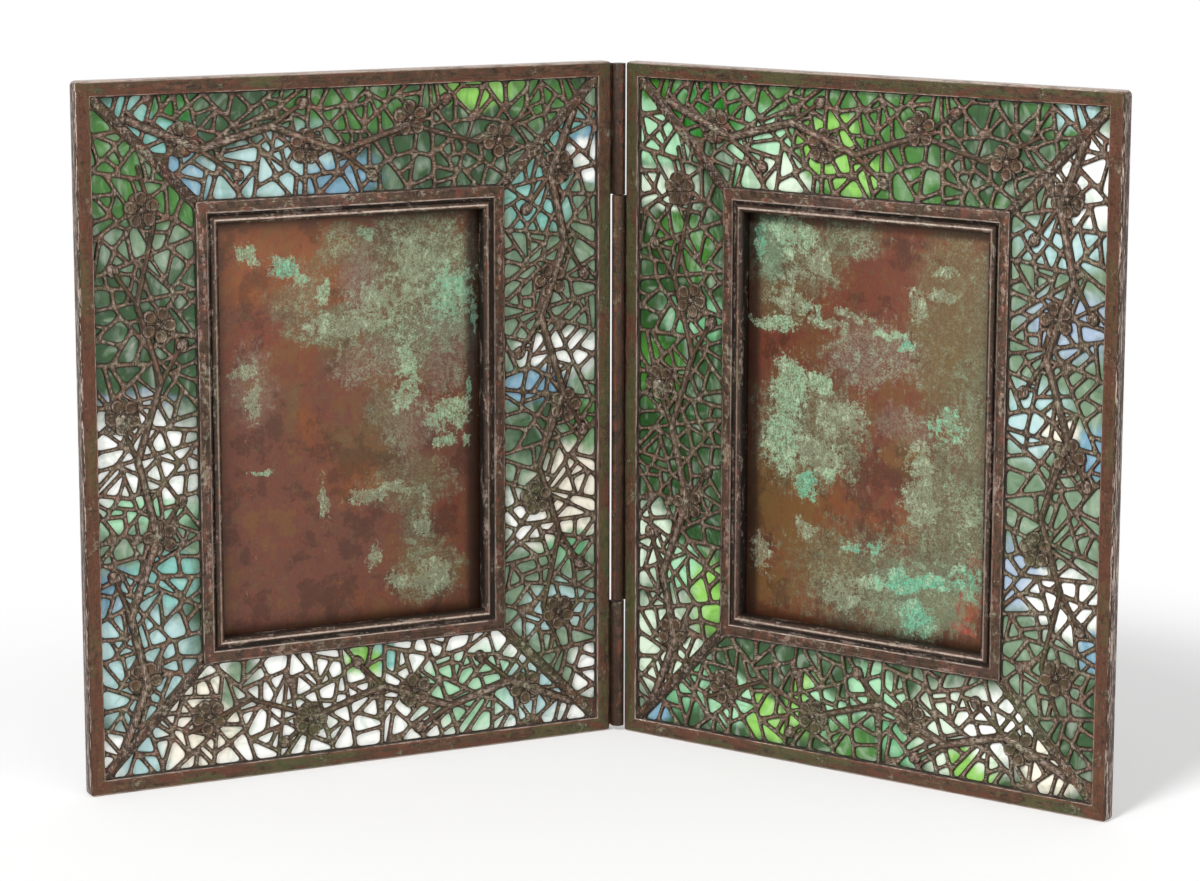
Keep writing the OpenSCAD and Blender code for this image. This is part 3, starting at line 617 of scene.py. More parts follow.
class Nodes:
    """The node tree of a material or of the world."""

    def __init__(self, owner):
        owner.use_nodes = True
        self.owner = owner
        self.tree = owner.node_tree
        self.tree.nodes.clear()

    def add(self, kind, settings=None, sockets=None, out=0):
        """Adds a node: first its settings, then the values or links of its sockets."""
        node = self.tree.nodes.new("ShaderNode" + kind)
        for name, value in (settings or {}).items():
            setattr(node, name, value)
        for name, value in (sockets or {}).items():
            if isinstance(value, Value):
                self.tree.links.new(value.socket, node.inputs[name])
            else:
                node.inputs[name].default_value = value
        return Value(self, node.outputs[out]) if node.outputs else node

    def maths(self, operation, *values):
        return self.add("Math", {"operation": operation}, dict(enumerate(values)))

    def vectors(self, operation, *values, out="Vector"):
        return self.add("VectorMath", {"operation": operation}, dict(enumerate(values)), out)

    def least(self, first, second):
        return self.maths("MINIMUM", first, second)

    def most(self, first, second):
        return self.maths("MAXIMUM", first, second)

    def step(self, value, low, high):
        """From 0 at low to 1 at high, with soft ends."""
        sockets = {"Value": value, "From Min": low, "From Max": high}
        return self.add("MapRange", {"interpolation_type": "SMOOTHSTEP"}, sockets)

    def ridge(self, value, middle, half):
        """1 where the value is at the middle, down to 0 at half away on both sides."""
        return self.step(self.maths("ABSOLUTE", value - middle), half, 0)

    def mix(self, share, first, second, blend="MIX"):
        settings = {"data_type": "RGBA", "blend_type": blend}
        sockets = {MIX_SHARE: share, MIX_FIRST: opaque(first), MIX_SECOND: opaque(second)}
        return self.add("Mix", settings, sockets, MIX_RESULT)

    def noise(self, place, scale, detail=3, roughness=0.5, distortion=0, out=0):
        sockets = {
            "Vector": place, "Scale": scale, "Detail": detail, "Roughness": roughness,
            "Distortion": distortion,
        }
        return self.add("TexNoise", None, sockets, out)

    def shifted(self, place, scale, reach, detail=2):
        """The place moved about by up to the reach, for edges that wander."""
        drift = self.noise(place, scale, detail, out="Color")
        centred = self.vectors("SUBTRACT", drift, (NOISE_MEAN,) * 3)
        return self.vectors("MULTIPLY_ADD", centred, (2 * reach,) * 3, place)

    def stretched(self, place, shares):
        return self.vectors("MULTIPLY", place, shares)

    def parts(self, place):
        """The x, y and z of a place."""
        x = self.add("SeparateXYZ", None, {"Vector": place})
        return [Value(self, output) for output in x.socket.node.outputs]

    def patch(self, place, middle, reach, soft=0.35):
        """1 inside an oval in the leaf's plane, 0 outside it."""
        scale = [1 / reach[0], 0, 1 / reach[1]]
        offset = [-middle[0] / reach[0], 0, -middle[1] / reach[1]]
        across = self.vectors("MULTIPLY_ADD", place, scale, offset)
        return self.step(self.vectors("LENGTH", across, out="Value"), 1 + soft, 1 - soft)

    def leaf_place(self, leaf):
        """Object coordinates turned into the leaf's own millimetres."""
        inverse = leaf.matrix.inverted()
        sockets = {
            "Vector": self.add("TexCoord", out="Object"), "Location": inverse.to_translation(),
            "Rotation": inverse.to_euler(), "Scale": (PER_METRE,) * 3,
        }
        return self.add("Mapping", {"vector_type": "POINT"}, sockets)

    def leaf_facing(self, leaf):
        """How squarely the surface faces the leaf's front or back, from 0 on a wall to 1."""
        turn = leaf.matrix.inverted().to_euler()
        sockets = {"Vector": self.add("TexCoord", out="Normal"), "Rotation": turn}
        turned = self.add("Mapping", {"vector_type": "VECTOR"}, sockets)
        return self.maths("ABSOLUTE", self.parts(turned)[1])

    def surface(self, sockets, height, bump_depth):
        """The finished surface, with a bump from a height. The bump's depth is in millimetres."""
        bump = {"Height": height, "Distance": bump_depth / PER_METRE, "Strength": 1.0}
        sockets["Normal"] = self.add("Bump", None, bump)
        shader = self.add("BsdfPrincipled", None, sockets)
        self.add("OutputMaterial", None, {"Surface": shader})
        return self.owner


def opaque(colour):
    """A colour socket as it is, or a colour with its fourth value."""
    return colour if isinstance(colour, Value) else (*colour[:3], 1)


def swing(noise_value, strength):
    """What a noise adds above its mean and takes away below it."""
    return (noise_value - NOISE_MEAN) * strength


class Paint:
    """A colour built up in coats. A tint is a colour, or the name of one of the given colours."""

    def __init__(self, nodes, colours, ground):
        self.nodes = nodes
        self.colours = colours
        self.colour = opaque(getattr(colours, ground))

    def coat(self, mask, tint, blend="MIX"):
        """Lays a tint on wherever the mask is above 0."""
        if isinstance(tint, str):
            tint = getattr(self.colours, tint)
        self.colour = self.nodes.mix(mask, self.colour, tint, blend)


def edge_distances(nodes, leaf, place):
    """Distances in from the leaf's upright edges, from its level edges, and from the nearest edge."""
    x, _, z = nodes.parts(place)
    from_upright = nodes.least(x, leaf.width - x)
    from_level = nodes.least(z, leaf.height - z)
    return from_upright, from_level, nodes.least(from_upright, from_level)


def along_bars(nodes, place, on_level, fine, coarse, detail):
    """Noise in streaks that run along whichever bar the place is on."""
    upright = nodes.noise(nodes.stretched(place, (fine, fine, coarse)), 1, detail)
    level = nodes.noise(nodes.stretched(place, (coarse, fine, fine)), 1, detail)
    return upright + (level - upright) * on_level


def bronze_marks(nodes, leaf):
    """The noises that the patina follows, with where the surface lies on the leaf and faces."""
    place = nodes.leaf_place(leaf)
    from_upright, from_level, inset = edge_distances(nodes, leaf, place)
    on_level = nodes.step(from_level - from_upright, 0.3, -0.3)
    return SimpleNamespace(
        nodes=nodes,
        place=place,
        inset=inset,
        on_level=on_level,
        depth=nodes.parts(place)[1],
        facing=nodes.leaf_facing(leaf),
        mottle=nodes.noise(nodes.shifted(place, 0.3, 2.5), 0.28, 5, 0.65),
        flecks=nodes.noise(nodes.shifted(place, 1.1, 0.5), 0.75, 4, 0.6),
        streaks=along_bars(nodes, place, on_level, 1.6, 0.09, 4),
        scratches=along_bars(nodes, place, on_level, 5, 0.35, 2),
        bands=along_bars(nodes, nodes.shifted(place, 0.08, 3), on_level, 0.38, 0.05, 4),
        clouds=nodes.noise(place, 0.045, 4, 0.6),
        greening=nodes.noise(place, 0.02, 3, 0.55),
        rubbing=nodes.noise(nodes.shifted(place, 0.6, 1.2), 0.1, 4, 0.7),
        grain=nodes.noise(place, 2.2, 4, 0.6),
    )


def bronze(leaf, name, tone, greenness, rubbed, recess_shade=None, rust=None, worn_and_lit=None, verdant=None):
    """Patinated bronze. The last four work out masks of the piece's own, from its marks."""
    nodes = Nodes(bpy.data.materials.new(f"{leaf.name}_{name}"))
    marks = bronze_marks(nodes, leaf)
    mottle, flecks, streaks = marks.mottle, marks.flecks, marks.streaks
    scratches, bands, grain = marks.scratches, marks.bands, marks.grain

    paint = Paint(nodes, bpy.context.scene.bronze_colours, tone)
    paint.coat(nodes.step(marks.clouds, 0.35, 0.65), "brown")
    paint.coat(nodes.step(mottle + swing(bands, 0.8), 0.5, 0.66) * 0.75, "rose")
    paint.coat(nodes.step(mottle + swing(flecks, 0.5), 0.48, 0.33) * 0.85, "umber")
    in_front = nodes.step(marks.depth, 4.4, 3.4)
    paint.coat(nodes.step(streaks, 0.5, 0.64) * (0.2 + in_front * 0.5), "umber")
    greening = marks.greening + swing(bands, 0.9) + (mottle + streaks - 1) * 0.4
    if verdant is not None:
        greening = greening + verdant(marks)
    green_from = 0.62 - greenness * 0.2
    paint.coat(nodes.step(greening, green_from, green_from + 0.14) * 0.65, "green")
    if rust is not None:
        paint.coat(rust(marks), "rust")
    # Painted shade: umber laid where the surface turns away from the leaf's front, so the sides of bars
    # and beads are darker than their crests
    shaded_slopes = nodes.step(marks.facing, 0.99, 0.88)
    paint.coat(shaded_slopes * 0.7, "umber")
    rubbing = marks.rubbing + swing(scratches, 0.4) + swing(flecks, 0.7)
    rubbed_from = 0.66 - rubbed * 0.12
    rubs = nodes.step(rubbing, rubbed_from, rubbed_from + 0.16) * (1 - shaded_slopes * 0.5)
    paint.coat(rubs * 0.7, "lichen")
    glints = nodes.step(scratches + swing(grain, 0.6), 0.6, 0.78)
    paint.coat(glints * (0.1 + in_front * 0.2), "lichen")
    paint.coat(nodes.step(grain, 0.42, 0.24) * 0.6, "soot_and_shade")
    # Painted shade in the piece's recesses, from a mask of its own
    if recess_shade is not None:
        paint.coat(recess_shade(marks), "soot_and_shade")
    # Painted shade: walls that face sideways, such as the cut walls of the openings, are darkened nearly
    # to black
    shaded_walls = nodes.step(marks.facing, 0.6, 0.25) * nodes.step(marks.inset, 0.4, 1.2)
    paint.coat(shaded_walls * 0.85, "soot_and_shade")
    # Pale bare metal where the piece's own mask says: partly real wear, partly painted highlights along
    # edges and crests
    wear_and_highlight = 0.0
    if worn_and_lit is not None:
        wear_and_highlight = worn_and_lit(marks)
        paint.coat(wear_and_highlight, "bare_and_highlight")

    sockets = {
        "Base Color": paint.colour,
        "Roughness": 0.45 + swing(mottle, 0.3) + swing(scratches, 0.25) - wear_and_highlight * 0.2,
        "Metallic": 0.5 - shaded_walls * 0.3 - rubs * 0.2 + wear_and_highlight * 0.3,
    }
    height = swing(scratches, 0.6) + swing(flecks, 1.2) + swing(grain, 0.6) + swing(mottle, 1.2)
    return nodes.surface(sockets, height, 0.2)


def rim_bronze(leaf):
    def recess_shade(marks):
        # Painted shade just inside the rim's inner edge, where it steps down to the sheet
        return marks.nodes.ridge(marks.inset, leaf.rim + 0.2, 0.7) * 0.6

    def rust(marks):
        nodes = marks.nodes
        streaky = nodes.step(marks.streaks, 0.4, 0.56)
        inner_edge = nodes.ridge(marks.inset, leaf.rim - 0.5, 0.8) * streaky * 0.75
        thinness = marks.bands + swing(marks.flecks, 0.4) + swing(marks.scratches, 0.3)
        thin = nodes.step(thinness, 0.47, 0.36)
        from_outer = leaf.from_outer(nodes.parts(marks.place)[0])
        on_outer = nodes.step(from_outer, leaf.rim * 1.5, leaf.rim)
        on_outer = on_outer * nodes.step(marks.flecks, 0.35, 0.6)
        return nodes.most(inner_edge, nodes.most(thin * 0.5, on_outer * 0.45))

    def worn_and_lit(marks):
        # Painted highlight: a pale line along the rim's outer edge, broken by streaks and wider on the
        # top and bottom bars, with a fainter one at the inner edge
        nodes, lines = marks.nodes, marks.streaks + marks.scratches
        broken = nodes.step(lines, 1.05 - marks.on_level * 0.45, 1.15)
        outer = nodes.ridge(marks.inset, 0.2, 0.7) * broken
        inner = nodes.ridge(marks.inset, leaf.rim - 0.15, 0.35) * nodes.step(lines, 0.85, 1.15)
        return outer * 0.95 + inner * 0.65

    def verdant(marks):
        nodes = marks.nodes
        x, _, z = nodes.parts(marks.place)
        near_hinge = nodes.step(leaf.from_hinge(x), leaf.rim * 2, leaf.rim)
        if leaf.name == "left":
            return near_hinge * 0.1
        near_top = nodes.step(z, leaf.height - leaf.rim * 2, leaf.height - leaf.rim)
        return nodes.most(near_hinge, near_top) * 0.12

    return bronze(leaf, "rim_bronze", "brown", 0.65, 0.3, recess_shade, rust, worn_and_lit, verdant)


def openwork_bronze(leaf):
    def recess_shade(marks):
        # Painted shade on the sheet where it runs under the rim and under the moulding's band
        under_rim = marks.nodes.ridge(marks.inset, leaf.rim, 1.4)
        under_band = marks.nodes.ridge(marks.inset, leaf.border, 1.2)
        return marks.nodes.most(under_rim, under_band) * 0.75

    def rust(marks):
        sloping = marks.nodes.step(marks.facing, 0.995, 0.93)
        return marks.nodes.step(marks.flecks, 0.52, 0.64) * sloping * 0.6

    def worn_and_lit(marks):
        # Painted highlight on the crests of the rounded bars, broken by flecks and scratches
        crest = marks.nodes.step(marks.facing, 0.955, 0.998)
        return crest * marks.nodes.step(marks.flecks + marks.scratches, 0.9, 1.15) * 0.4

    return bronze(leaf, "openwork_bronze", "taupe", 0.3, 0.8, recess_shade, rust, worn_and_lit)


def moulding_bronze(leaf):
    bead = (leaf.bead_start + leaf.sight) / 2

    def recess_shade(marks):
        # Painted shade in the groove, at the bead's foot and at the band's outer edge
        nodes = marks.nodes
        groove = nodes.ridge(marks.inset, (leaf.band_end + leaf.bead_start) / 2, 1.0)
        foot = nodes.ridge(marks.inset, leaf.sight, 0.5)
        edge = nodes.ridge(marks.inset, leaf.border, 0.35)
        return nodes.most(groove * 0.95, nodes.most(foot * 0.7, edge * 0.4))

    def rust(marks):
        streaky = marks.nodes.step(marks.streaks, 0.42, 0.56)
        return marks.nodes.step(marks.mottle, 0.52, 0.64) * streaky * 0.7

    def worn_and_lit(marks):
        # Painted highlights on the bead's crest and along the band's edges, brighter on the top and
        # bottom bars; the scrapes are real wear
        nodes, lines = marks.nodes, marks.streaks + marks.scratches
        level = marks.on_level
        rubbed = nodes.step(lines + swing(marks.flecks, 0.6), 0.7, 1.0)
        crest = nodes.ridge(marks.inset, bead, 0.4 + level * 0.12) * rubbed * (0.4 + level * 0.6)
        inner = nodes.ridge(marks.inset, leaf.band_end - 0.3, 0.4) * nodes.step(lines, 0.8, 1.1)
        outer = nodes.ridge(marks.inset, leaf.border + 0.3, 0.4) * nodes.step(lines, 0.9, 1.15)
        scraping = marks.bands + swing(marks.flecks, 0.6) + swing(marks.scratches, 0.4)
        scrapes = nodes.step(scraping, 0.58, 0.68) * 0.3
        edges = nodes.most(inner * (0.4 + level * 0.4), outer * 0.5)
        return nodes.most(nodes.most(crest, scrapes), edges)

    return bronze(leaf, "moulding_bronze", "mauve", 0.15, 0.75, recess_shade, rust, worn_and_lit)


def relief_bronze(leaf):
    def rust(marks):
        return marks.nodes.step(marks.flecks, 0.52, 0.64) * 0.4

    def worn_and_lit(marks):
        # Pale on the highest parts of the relief, broken by flecks: rubbed wear and painted highlight
        # both
        crest = marks.nodes.step(marks.depth, leaf.sheet_y - 0.3, leaf.sheet_y - 0.7)
        return crest * marks.nodes.step(marks.flecks + marks.scratches, 0.9, 1.2) * 0.45

    return bronze(leaf, "relief_bronze", "taupe", 0.3, 0.8, None, rust, worn_and_lit)


def seam_bronze(leaf):
    def worn_and_lit(marks):
        return marks.nodes.step(marks.flecks + marks.scratches, 1.0, 1.25) * 0.4

    return bronze(leaf, "seam_bronze", "umber", 0.5, 0.7, None, None, worn_and_lit)


def knuckle_bronze(leaf, name, tone):
    def rust(marks):
        return marks.nodes.step(marks.mottle + swing(marks.streaks, 0.8), 0.5, 0.62) * 0.7

    return bronze(leaf, name, tone, 0.0, 0.2, None, rust)


def aged_brass(leaf, name):
    return bronze(leaf, name, "brass", 0.35, 0.4)


def opal_glass(leaf, side):
    """Streaky opal glass, in patches of colour whose edges wander."""
    nodes = Nodes(bpy.data.materials.new(f"{leaf.name}_opal_{side}"))
    place = nodes.leaf_place(leaf)
    bent = nodes.shifted(nodes.shifted(place, 0.06, 8, 5), 0.2, 2.5, 3)
    seen = leaf.seen(side)
    ground, patches = GLASS_SHARES[leaf.name][side]
    paint = Paint(nodes, bpy.context.scene.glass_colours, ground)
    for along, across, *reach, tint in patches:
        spot = leaf.spot(seen, along * leaf.run(seen), across * leaf.border)
        if seen in ("left", "right"):
            reach.reverse()
        lengths = [share * leaf.border for share in reach]
        paint.coat(nodes.patch(bent, (spot.x, spot.z), lengths), tint)
    flow = nodes.shifted(place, 0.03, 7, 1)
    wisps = nodes.noise(nodes.stretched(flow, (0.24, 1, 0.05)), 1, 4)
    depths = nodes.noise(nodes.stretched(flow, (0.06, 1, 0.22)), 1, 4)
    light_place = nodes.stretched(nodes.shifted(place, 0.05, 5, 1), (0.1, 1, 0.045))
    lights = nodes.noise(light_place, 1, 3)
    specks = nodes.noise(place, 2.6, 2)
    paint.coat(nodes.step(lights, 0.5, 0.7) * 0.22, "frost")
    paint.coat(nodes.step(lights, 0.46, 0.34) * 0.5, DIM_GLASS, "MULTIPLY")
    paint.coat(nodes.step(wisps, 0.52, 0.74) * 0.18, "milk")
    paint.coat(nodes.step(depths, 0.54, 0.72) * 0.35, DEEP_GLASS, "MULTIPLY")
    paint.coat(nodes.step(specks, 0.74, 0.8) * 0.6, GLASS_SPECKS)
    sockets = {
        "Base Color": paint.colour,
        "Roughness": 0.12 + nodes.noise(place, 0.8, 2) * 0.12,
        "IOR": 1.52,
    }
    ripple = nodes.noise(nodes.stretched(flow, (0.3, 1, 0.12)), 1, 2)
    return nodes.surface(sockets, ripple, 0.25)


def copper_marks(nodes, place):
    """The noises that the copper's stains and its verdigris follow."""
    grain = nodes.noise(place, 1.8, 5, 0.65)
    crumble = nodes.noise(nodes.shifted(place, 0.8, 0.8), 0.5, 6, 0.75)
    scrape_place = nodes.stretched(nodes.shifted(place, 0.2, 1), (2.2, 1, 0.26))
    stain_place = nodes.stretched(nodes.shifted(place, 0.12, 5), (0.13, 1, 0.07))
    curled = nodes.noise(nodes.shifted(place, 1.1, 0.7), 0.6, 3, 0.6)
    hairy = nodes.noise(nodes.shifted(place, 0.3, 2), 0.26, 4, 0.55)
    return SimpleNamespace(
        bent=nodes.shifted(nodes.shifted(place, 0.07, 5), 0.4, 1.6, 4),
        near=nodes.shifted(nodes.shifted(place, 0.11, 4.5), 0.45, 2.2, 5),
        grain=grain,
        crumble=crumble,
        flakes=crumble * 0.6 + grain * 0.4,
        blotch=nodes.noise(nodes.shifted(place, 0.15, 4), 0.12, 6, 0.65),
        drag=nodes.noise(nodes.stretched(place, (0.9, 1, 0.13)), 1, 5, 0.7, 0.4),
        scrape=nodes.noise(scrape_place, 1, 5, 0.7),
        clumps=nodes.noise(nodes.shifted(place, 0.35, 2), 0.3, 6, 0.7, 0.3),
        stains=nodes.noise(stain_place, 1, 7, 0.7),
        clouds=nodes.noise(place, 0.08, 6, 0.62),
        pits=nodes.noise(place, 1.5, 3, 0.6),
        curls=nodes.ridge(curled, 0.5, 0.05),
        hairs=nodes.ridge(hairy, 0.5, 0.012),
    )


def window_patch(nodes, leaf, place, shares, soft):
    """An oval over the window: its middle, then its reach, as shares of the width and height."""
    size = (leaf.width - 2 * leaf.sight, leaf.height - 2 * leaf.sight)
    x, z, reach_x, reach_z = [share * run for share, run in zip(shares, size * 2)]
    return nodes.patch(place, (leaf.sight + x, leaf.sight + z), (reach_x, reach_z), soft)


def stain_copper(paint, marks, leaf):
    """The bare copper's own colours: blotches, the stains at their places, then clouds and pits."""
    step = paint.nodes.step
    blotch, drag, stains, clumps = marks.blotch, marks.drag, marks.stains, marks.clumps
    paint.coat(step(blotch, 0.4, 0.62), "brick")
    paint.coat(step(drag, 0.52, 0.7) * 0.45, "olive")
    paint.coat(step(stains, 0.53, 0.57) * 0.5, "amber")
    paint.coat(step(drag + swing(stains, 0.6), 0.45, 0.36) * 0.5, "brick")
    paint.coat(step(stains, 0.43, 0.39) * 0.35, "shade")
    for *shares, tint in STAIN_SHARES[leaf.name]:
        ragged = window_patch(paint.nodes, leaf, marks.bent, shares, 0.8)
        ragged = ragged + swing(blotch, 1.2) + swing(clumps, 0.8) + swing(drag, 0.7)
        paint.coat(step(ragged, 0.3, 0.75) * 0.75, tint)
    paint.coat(step(clumps, 0.52, 0.62) * 0.5, "brick")
    paint.coat(step(clumps, 0.45, 0.38) * 0.5, "olive")
    paint.coat(step(stains + swing(clumps, 0.5), 0.46, 0.42) * 0.35, "plum")
    paint.coat(step(marks.clouds, 0.47, 0.4) * 0.4, "shade")
    paint.coat(step(marks.clouds, 0.54, 0.6) * 0.4, "ochre")
    paint.coat(step(marks.crumble, 0.53, 0.64) * 0.25, "amber")
    paint.coat(step(marks.pits + swing(drag, 0.5), 0.42, 0.32) * 0.2, "shade")
    paint.coat(paint.nodes.ridge(blotch, 0.57, 0.012) * 0.5, "amber")
    paint.coat(step(marks.grain, 0.55, 0.75) * 0.3, "amber")
    paint.coat(step(marks.grain, 0.42, 0.3) * 0.25, "shade")


def veil_copper(paint, marks, leaf, grown):
    """Thin verdigris that the copper shows through. Gives back where it lies."""
    nodes, step = paint.nodes, paint.nodes.step
    blotch, clumps, flakes = marks.blotch, marks.clumps, marks.flakes
    ragged = swing(clumps, 1.5) + swing(marks.drag, 1.0) + swing(marks.crumble, 0.9)
    veil = 0.0
    for *shares, strength, tint in VEIL_SHARES[leaf.name]:
        patch = window_patch(nodes, leaf, marks.bent, shares, 0.75)
        cover = step(patch + ragged, 0.3, 0.85) * strength * grown
        paint.coat(cover * 0.75, tint)
        chalkiness = 0.35 if tint == "olive" else 1
        veil = nodes.most(cover * chalkiness, veil)
    veil = veil * (0.55 + 0.45 * step(blotch + swing(marks.stains, 0.6), 0.42, 0.58))
    paint.coat(veil * step(clumps + swing(flakes, 0.5), 0.5, 0.64) * 0.5, "chalk")
    paint.coat(veil * marks.curls * 0.45, "frost")
    paint.coat(veil * step(clumps + swing(flakes, 0.4), 0.46, 0.36) * 0.6, "copper")
    dust = step(marks.crumble + swing(marks.pits, 0.8), 0.53, 0.62)
    paint.coat(veil * dust * step(blotch, 0.44, 0.56) * 0.6, "mint")
    paint.coat(veil * step(marks.pits, 0.42, 0.34) * 0.5, "plum")
    return veil


def crust_copper(paint, marks, leaf, grown):
    """Thick verdigris with pale edges, one colour after another. Gives back where it lies."""
    nodes, step = paint.nodes, paint.nodes.step
    clumps, crumble, flakes, pits = marks.clumps, marks.crumble, marks.flakes, marks.pits
    broken = swing(clumps, 2.2) + swing(crumble, 1.4) + swing(marks.drag, 0.6) + swing(pits, 0.8)
    crust = 0.0
    for tint, rows in CRUST_SHARES[leaf.name].items():
        bias = 0.0
        for *shares, strength in rows:
            patch = window_patch(nodes, leaf, marks.near, shares, 0.7)
            bias = nodes.most(patch * strength, bias)
        field = bias + broken * step(bias, 0.0, 0.3)
        cover = step(field, 0.42, 0.62) * (1 - step(marks.scrape, 0.52, 0.6) * 0.6)
        cover = cover * (1 - step(pits, 0.47, 0.38) * 0.7) * grown
        body = Paint(nodes, paint.colours, tint)
        body.coat(step(clumps + swing(flakes, 0.6), 0.5, 0.66) * 0.7, "frost")
        body.coat(step(flakes, 0.5, 0.4) * 0.6, "moss")
        paint.coat(cover * (0.9 - marks.curls * 0.4), body.colour)
        tide = nodes.ridge(field, 0.46, 0.07) * step(bias, 0.2, 0.5) * grown
        paint.coat(tide * 0.65, "frost")
        halo = step(bias, 0.0, 0.2) * step(crumble, 0.4, 0.55) * grown
        paint.coat(halo * marks.hairs * 0.6, "frost")
        crust = nodes.most(cover, crust)
    return crust


def aged_copper(leaf, front):
    """Copper of the back plate, with stains and verdigris, most of them on its front."""
    nodes = Nodes(bpy.data.materials.new(f"{leaf.name}_aged_copper"))
    place = nodes.leaf_place(leaf)
    marks = copper_marks(nodes, place)
    x, depth, z = nodes.parts(place)
    in_front = nodes.step(depth, front + 0.6, front + 0.3)
    grown = 0.3 + in_front * 0.7
    paint = Paint(nodes, bpy.context.scene.plate_colours, "copper")
    stain_copper(paint, marks, leaf)
    veil = veil_copper(paint, marks, leaf, grown)
    crust = crust_copper(paint, marks, leaf, grown)

    _, _, inset = edge_distances(nodes, leaf, place)
    # Painted shadow with some dirt: the plate's front is darker near the window's edges, most of all on
    # the hinge side where the other leaf stands
    edge_shadow_and_dirt = nodes.step(inset - leaf.sight, 5, 0) * 0.6
    hinge_shadow_and_dirt = nodes.step(leaf.from_hinge(x) - leaf.sight, 6.5, 3) * 0.85
    shadow_and_dirt = nodes.most(edge_shadow_and_dirt, hinge_shadow_and_dirt) * in_front
    paint.coat(shadow_and_dirt * (1 - crust * 0.4), "shade")

    sockets = {
        "Base Color": paint.colour,
        "Roughness": 0.42 + crust * 0.35 + veil * 0.15 + swing(marks.grain, 0.2),
        "Metallic": 0.35 - crust * 0.3 - veil * 0.05,
    }
    height = crust * 0.9 + marks.grain * 0.5 + marks.blotch + marks.drag * 0.3
    return nodes.surface(sockets, height, 0.12)


def as_mesh(shape, name):
    mesh = bpy.data.meshes.new(name)
    shape.to_mesh(mesh)
    shape.free()
    return mesh


def shown(name, data):
    """A new object of the scene."""
    thing = bpy.data.objects.new(name, data)
    bpy.context.scene.collection.objects.link(thing)
    return thing


def copied(leaf, nodes):
    """The meshes of CAD nodes as one, merged and in the leaf's own millimetres."""
    shape = bmesh.new()
    for node in nodes:
        shape.from_mesh(frame["nodes"][node].data)
    bmesh.ops.transform(shape, matrix=leaf.matrix.inverted(), verts=shape.verts)
    bmesh.ops.remove_doubles(shape, verts=shape.verts, dist=MERGE_DISTANCE)
    return shape


def drop_mitres(shape, leaf):
    """Deletes the end faces that two bars share at a corner seam, so that the bars are one."""

    def on_mitre(place):
        from_upright = min(place.x, leaf.width - place.x)
        from_level = min(place.z, leaf.height - place.z)
        return abs(from_upright - from_level) < MITRE_TOLERANCE

    ends = [
        face for face in shape.faces
        if on_mitre(face.calc_center_median()) and all(on_mitre(vert.co) for vert in face.verts)
    ]
    bmesh.ops.delete(shape, geom=ends, context="FACES_ONLY")


def flattened(shape):
    """Takes out the edges between faces that lie in one plane."""
    bmesh.ops.dissolve_limit(
        shape, angle_limit=FLAT_TURN, verts=shape.verts, edges=shape.edges, delimit={"NORMAL"}
    )


def turning_edges(shape, least_turn):
    """Edges at which the surface turns by more than an angle."""
    return [
        edge for edge in shape.edges
        if len(edge.link_faces) == 2 and edge.calc_face_angle(0) > least_turn
    ]


def bevelled(shape, edges, width, segments, kind="OFFSET", clamped=True):
    bmesh.ops.bevel(
        shape, geom=edges, offset=width, offset_type=kind, segments=segments, profile=0.5,
        affect="EDGES", clamp_overlap=clamped, material=-1
    )


def rounded_copy(leaf, nodes, width, segments=2, mitred=False):
    """CAD nodes as one shape with rounded edges. Mitred ones are joined at their mitres."""
    shape = copied(leaf, nodes)
    if mitred:
        drop_mitres(shape, leaf)
    flattened(shape)
    bevelled(shape, turning_edges(shape, SHARP_TURN), width, segments)
    return shape


def finished(shape, leaf, name, material, replaced=(), body=None, smooth_turn=SMOOTH_TURN):
    """Puts a shape where it stands, as an object with its finish. It rides on its leaf or a body."""
    bmesh.ops.transform(shape, matrix=leaf.matrix, verts=shape.verts)
    bmesh.ops.recalc_face_normals(shape, faces=shape.faces)
    for face in shape.faces:
        face.smooth = True
    mesh = as_mesh(shape, name)
    for layer in [a.name for a in mesh.attributes if a.name in CAD_LAYERS]:
        mesh.attributes.remove(mesh.attributes[layer])
    mesh.set_sharp_from_angle(angle=smooth_turn)
    mesh.materials.clear()
    mesh.materials.append(material)
    piece = shown(name, mesh)
    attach(piece, body or leaf.body)
    if replaced:
        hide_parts(*replaced)


def make_bars(leaf, kind, material):
    """The four bars of a rim or of a moulding as one piece, worn along their edges."""
    nodes = leaf.nodes(kind)
    shape = rounded_copy(leaf, nodes, in_mm(bpy.context.scene.relief_sizes.worn_edge), mitred=True)
    finished(shape, leaf, f"{leaf.name}_{kind}", material, nodes)


def make_rim(leaf):
    make_bars(leaf, "rim", rim_bronze(leaf))


def make_moulding(leaf):
    make_bars(leaf, "moulding", moulding_bronze(leaf))


def wall_normal(vert):
    """Mean direction of the walls that meet at a corner, in the leaf's plane."""
    total = sum((face.normal for face in vert.link_faces), Vector())
    total.y = 0
    return total.normalized()


def lip_edges(shape, depth):
    """Open edges that lie at one depth."""
    return [
        edge for edge in shape.edges
        if edge.is_boundary and all(abs(vert.co.y - depth) < DEPTH_TOLERANCE for vert in edge.verts)
    ]


def closed_rows(edges):
    """The closed rows of vertices that the edges make, each anticlockwise in the leaf's plane."""
    left = dict.fromkeys(edges)
    while left:
        edge = next(iter(left))
        vert = edge.verts[0]
        row = []
        while edge is not None:
            del left[edge]
            row.append(vert)
            vert = edge.other_vert(vert)
            edge = next((other for other in vert.link_edges if other in left), None)
        pairs = zip(row, row[1:] + row[:1])
        area = sum(a.co.x * b.co.z - b.co.x * a.co.z for a, b in pairs)
        yield row if area > 0 else row[::-1]


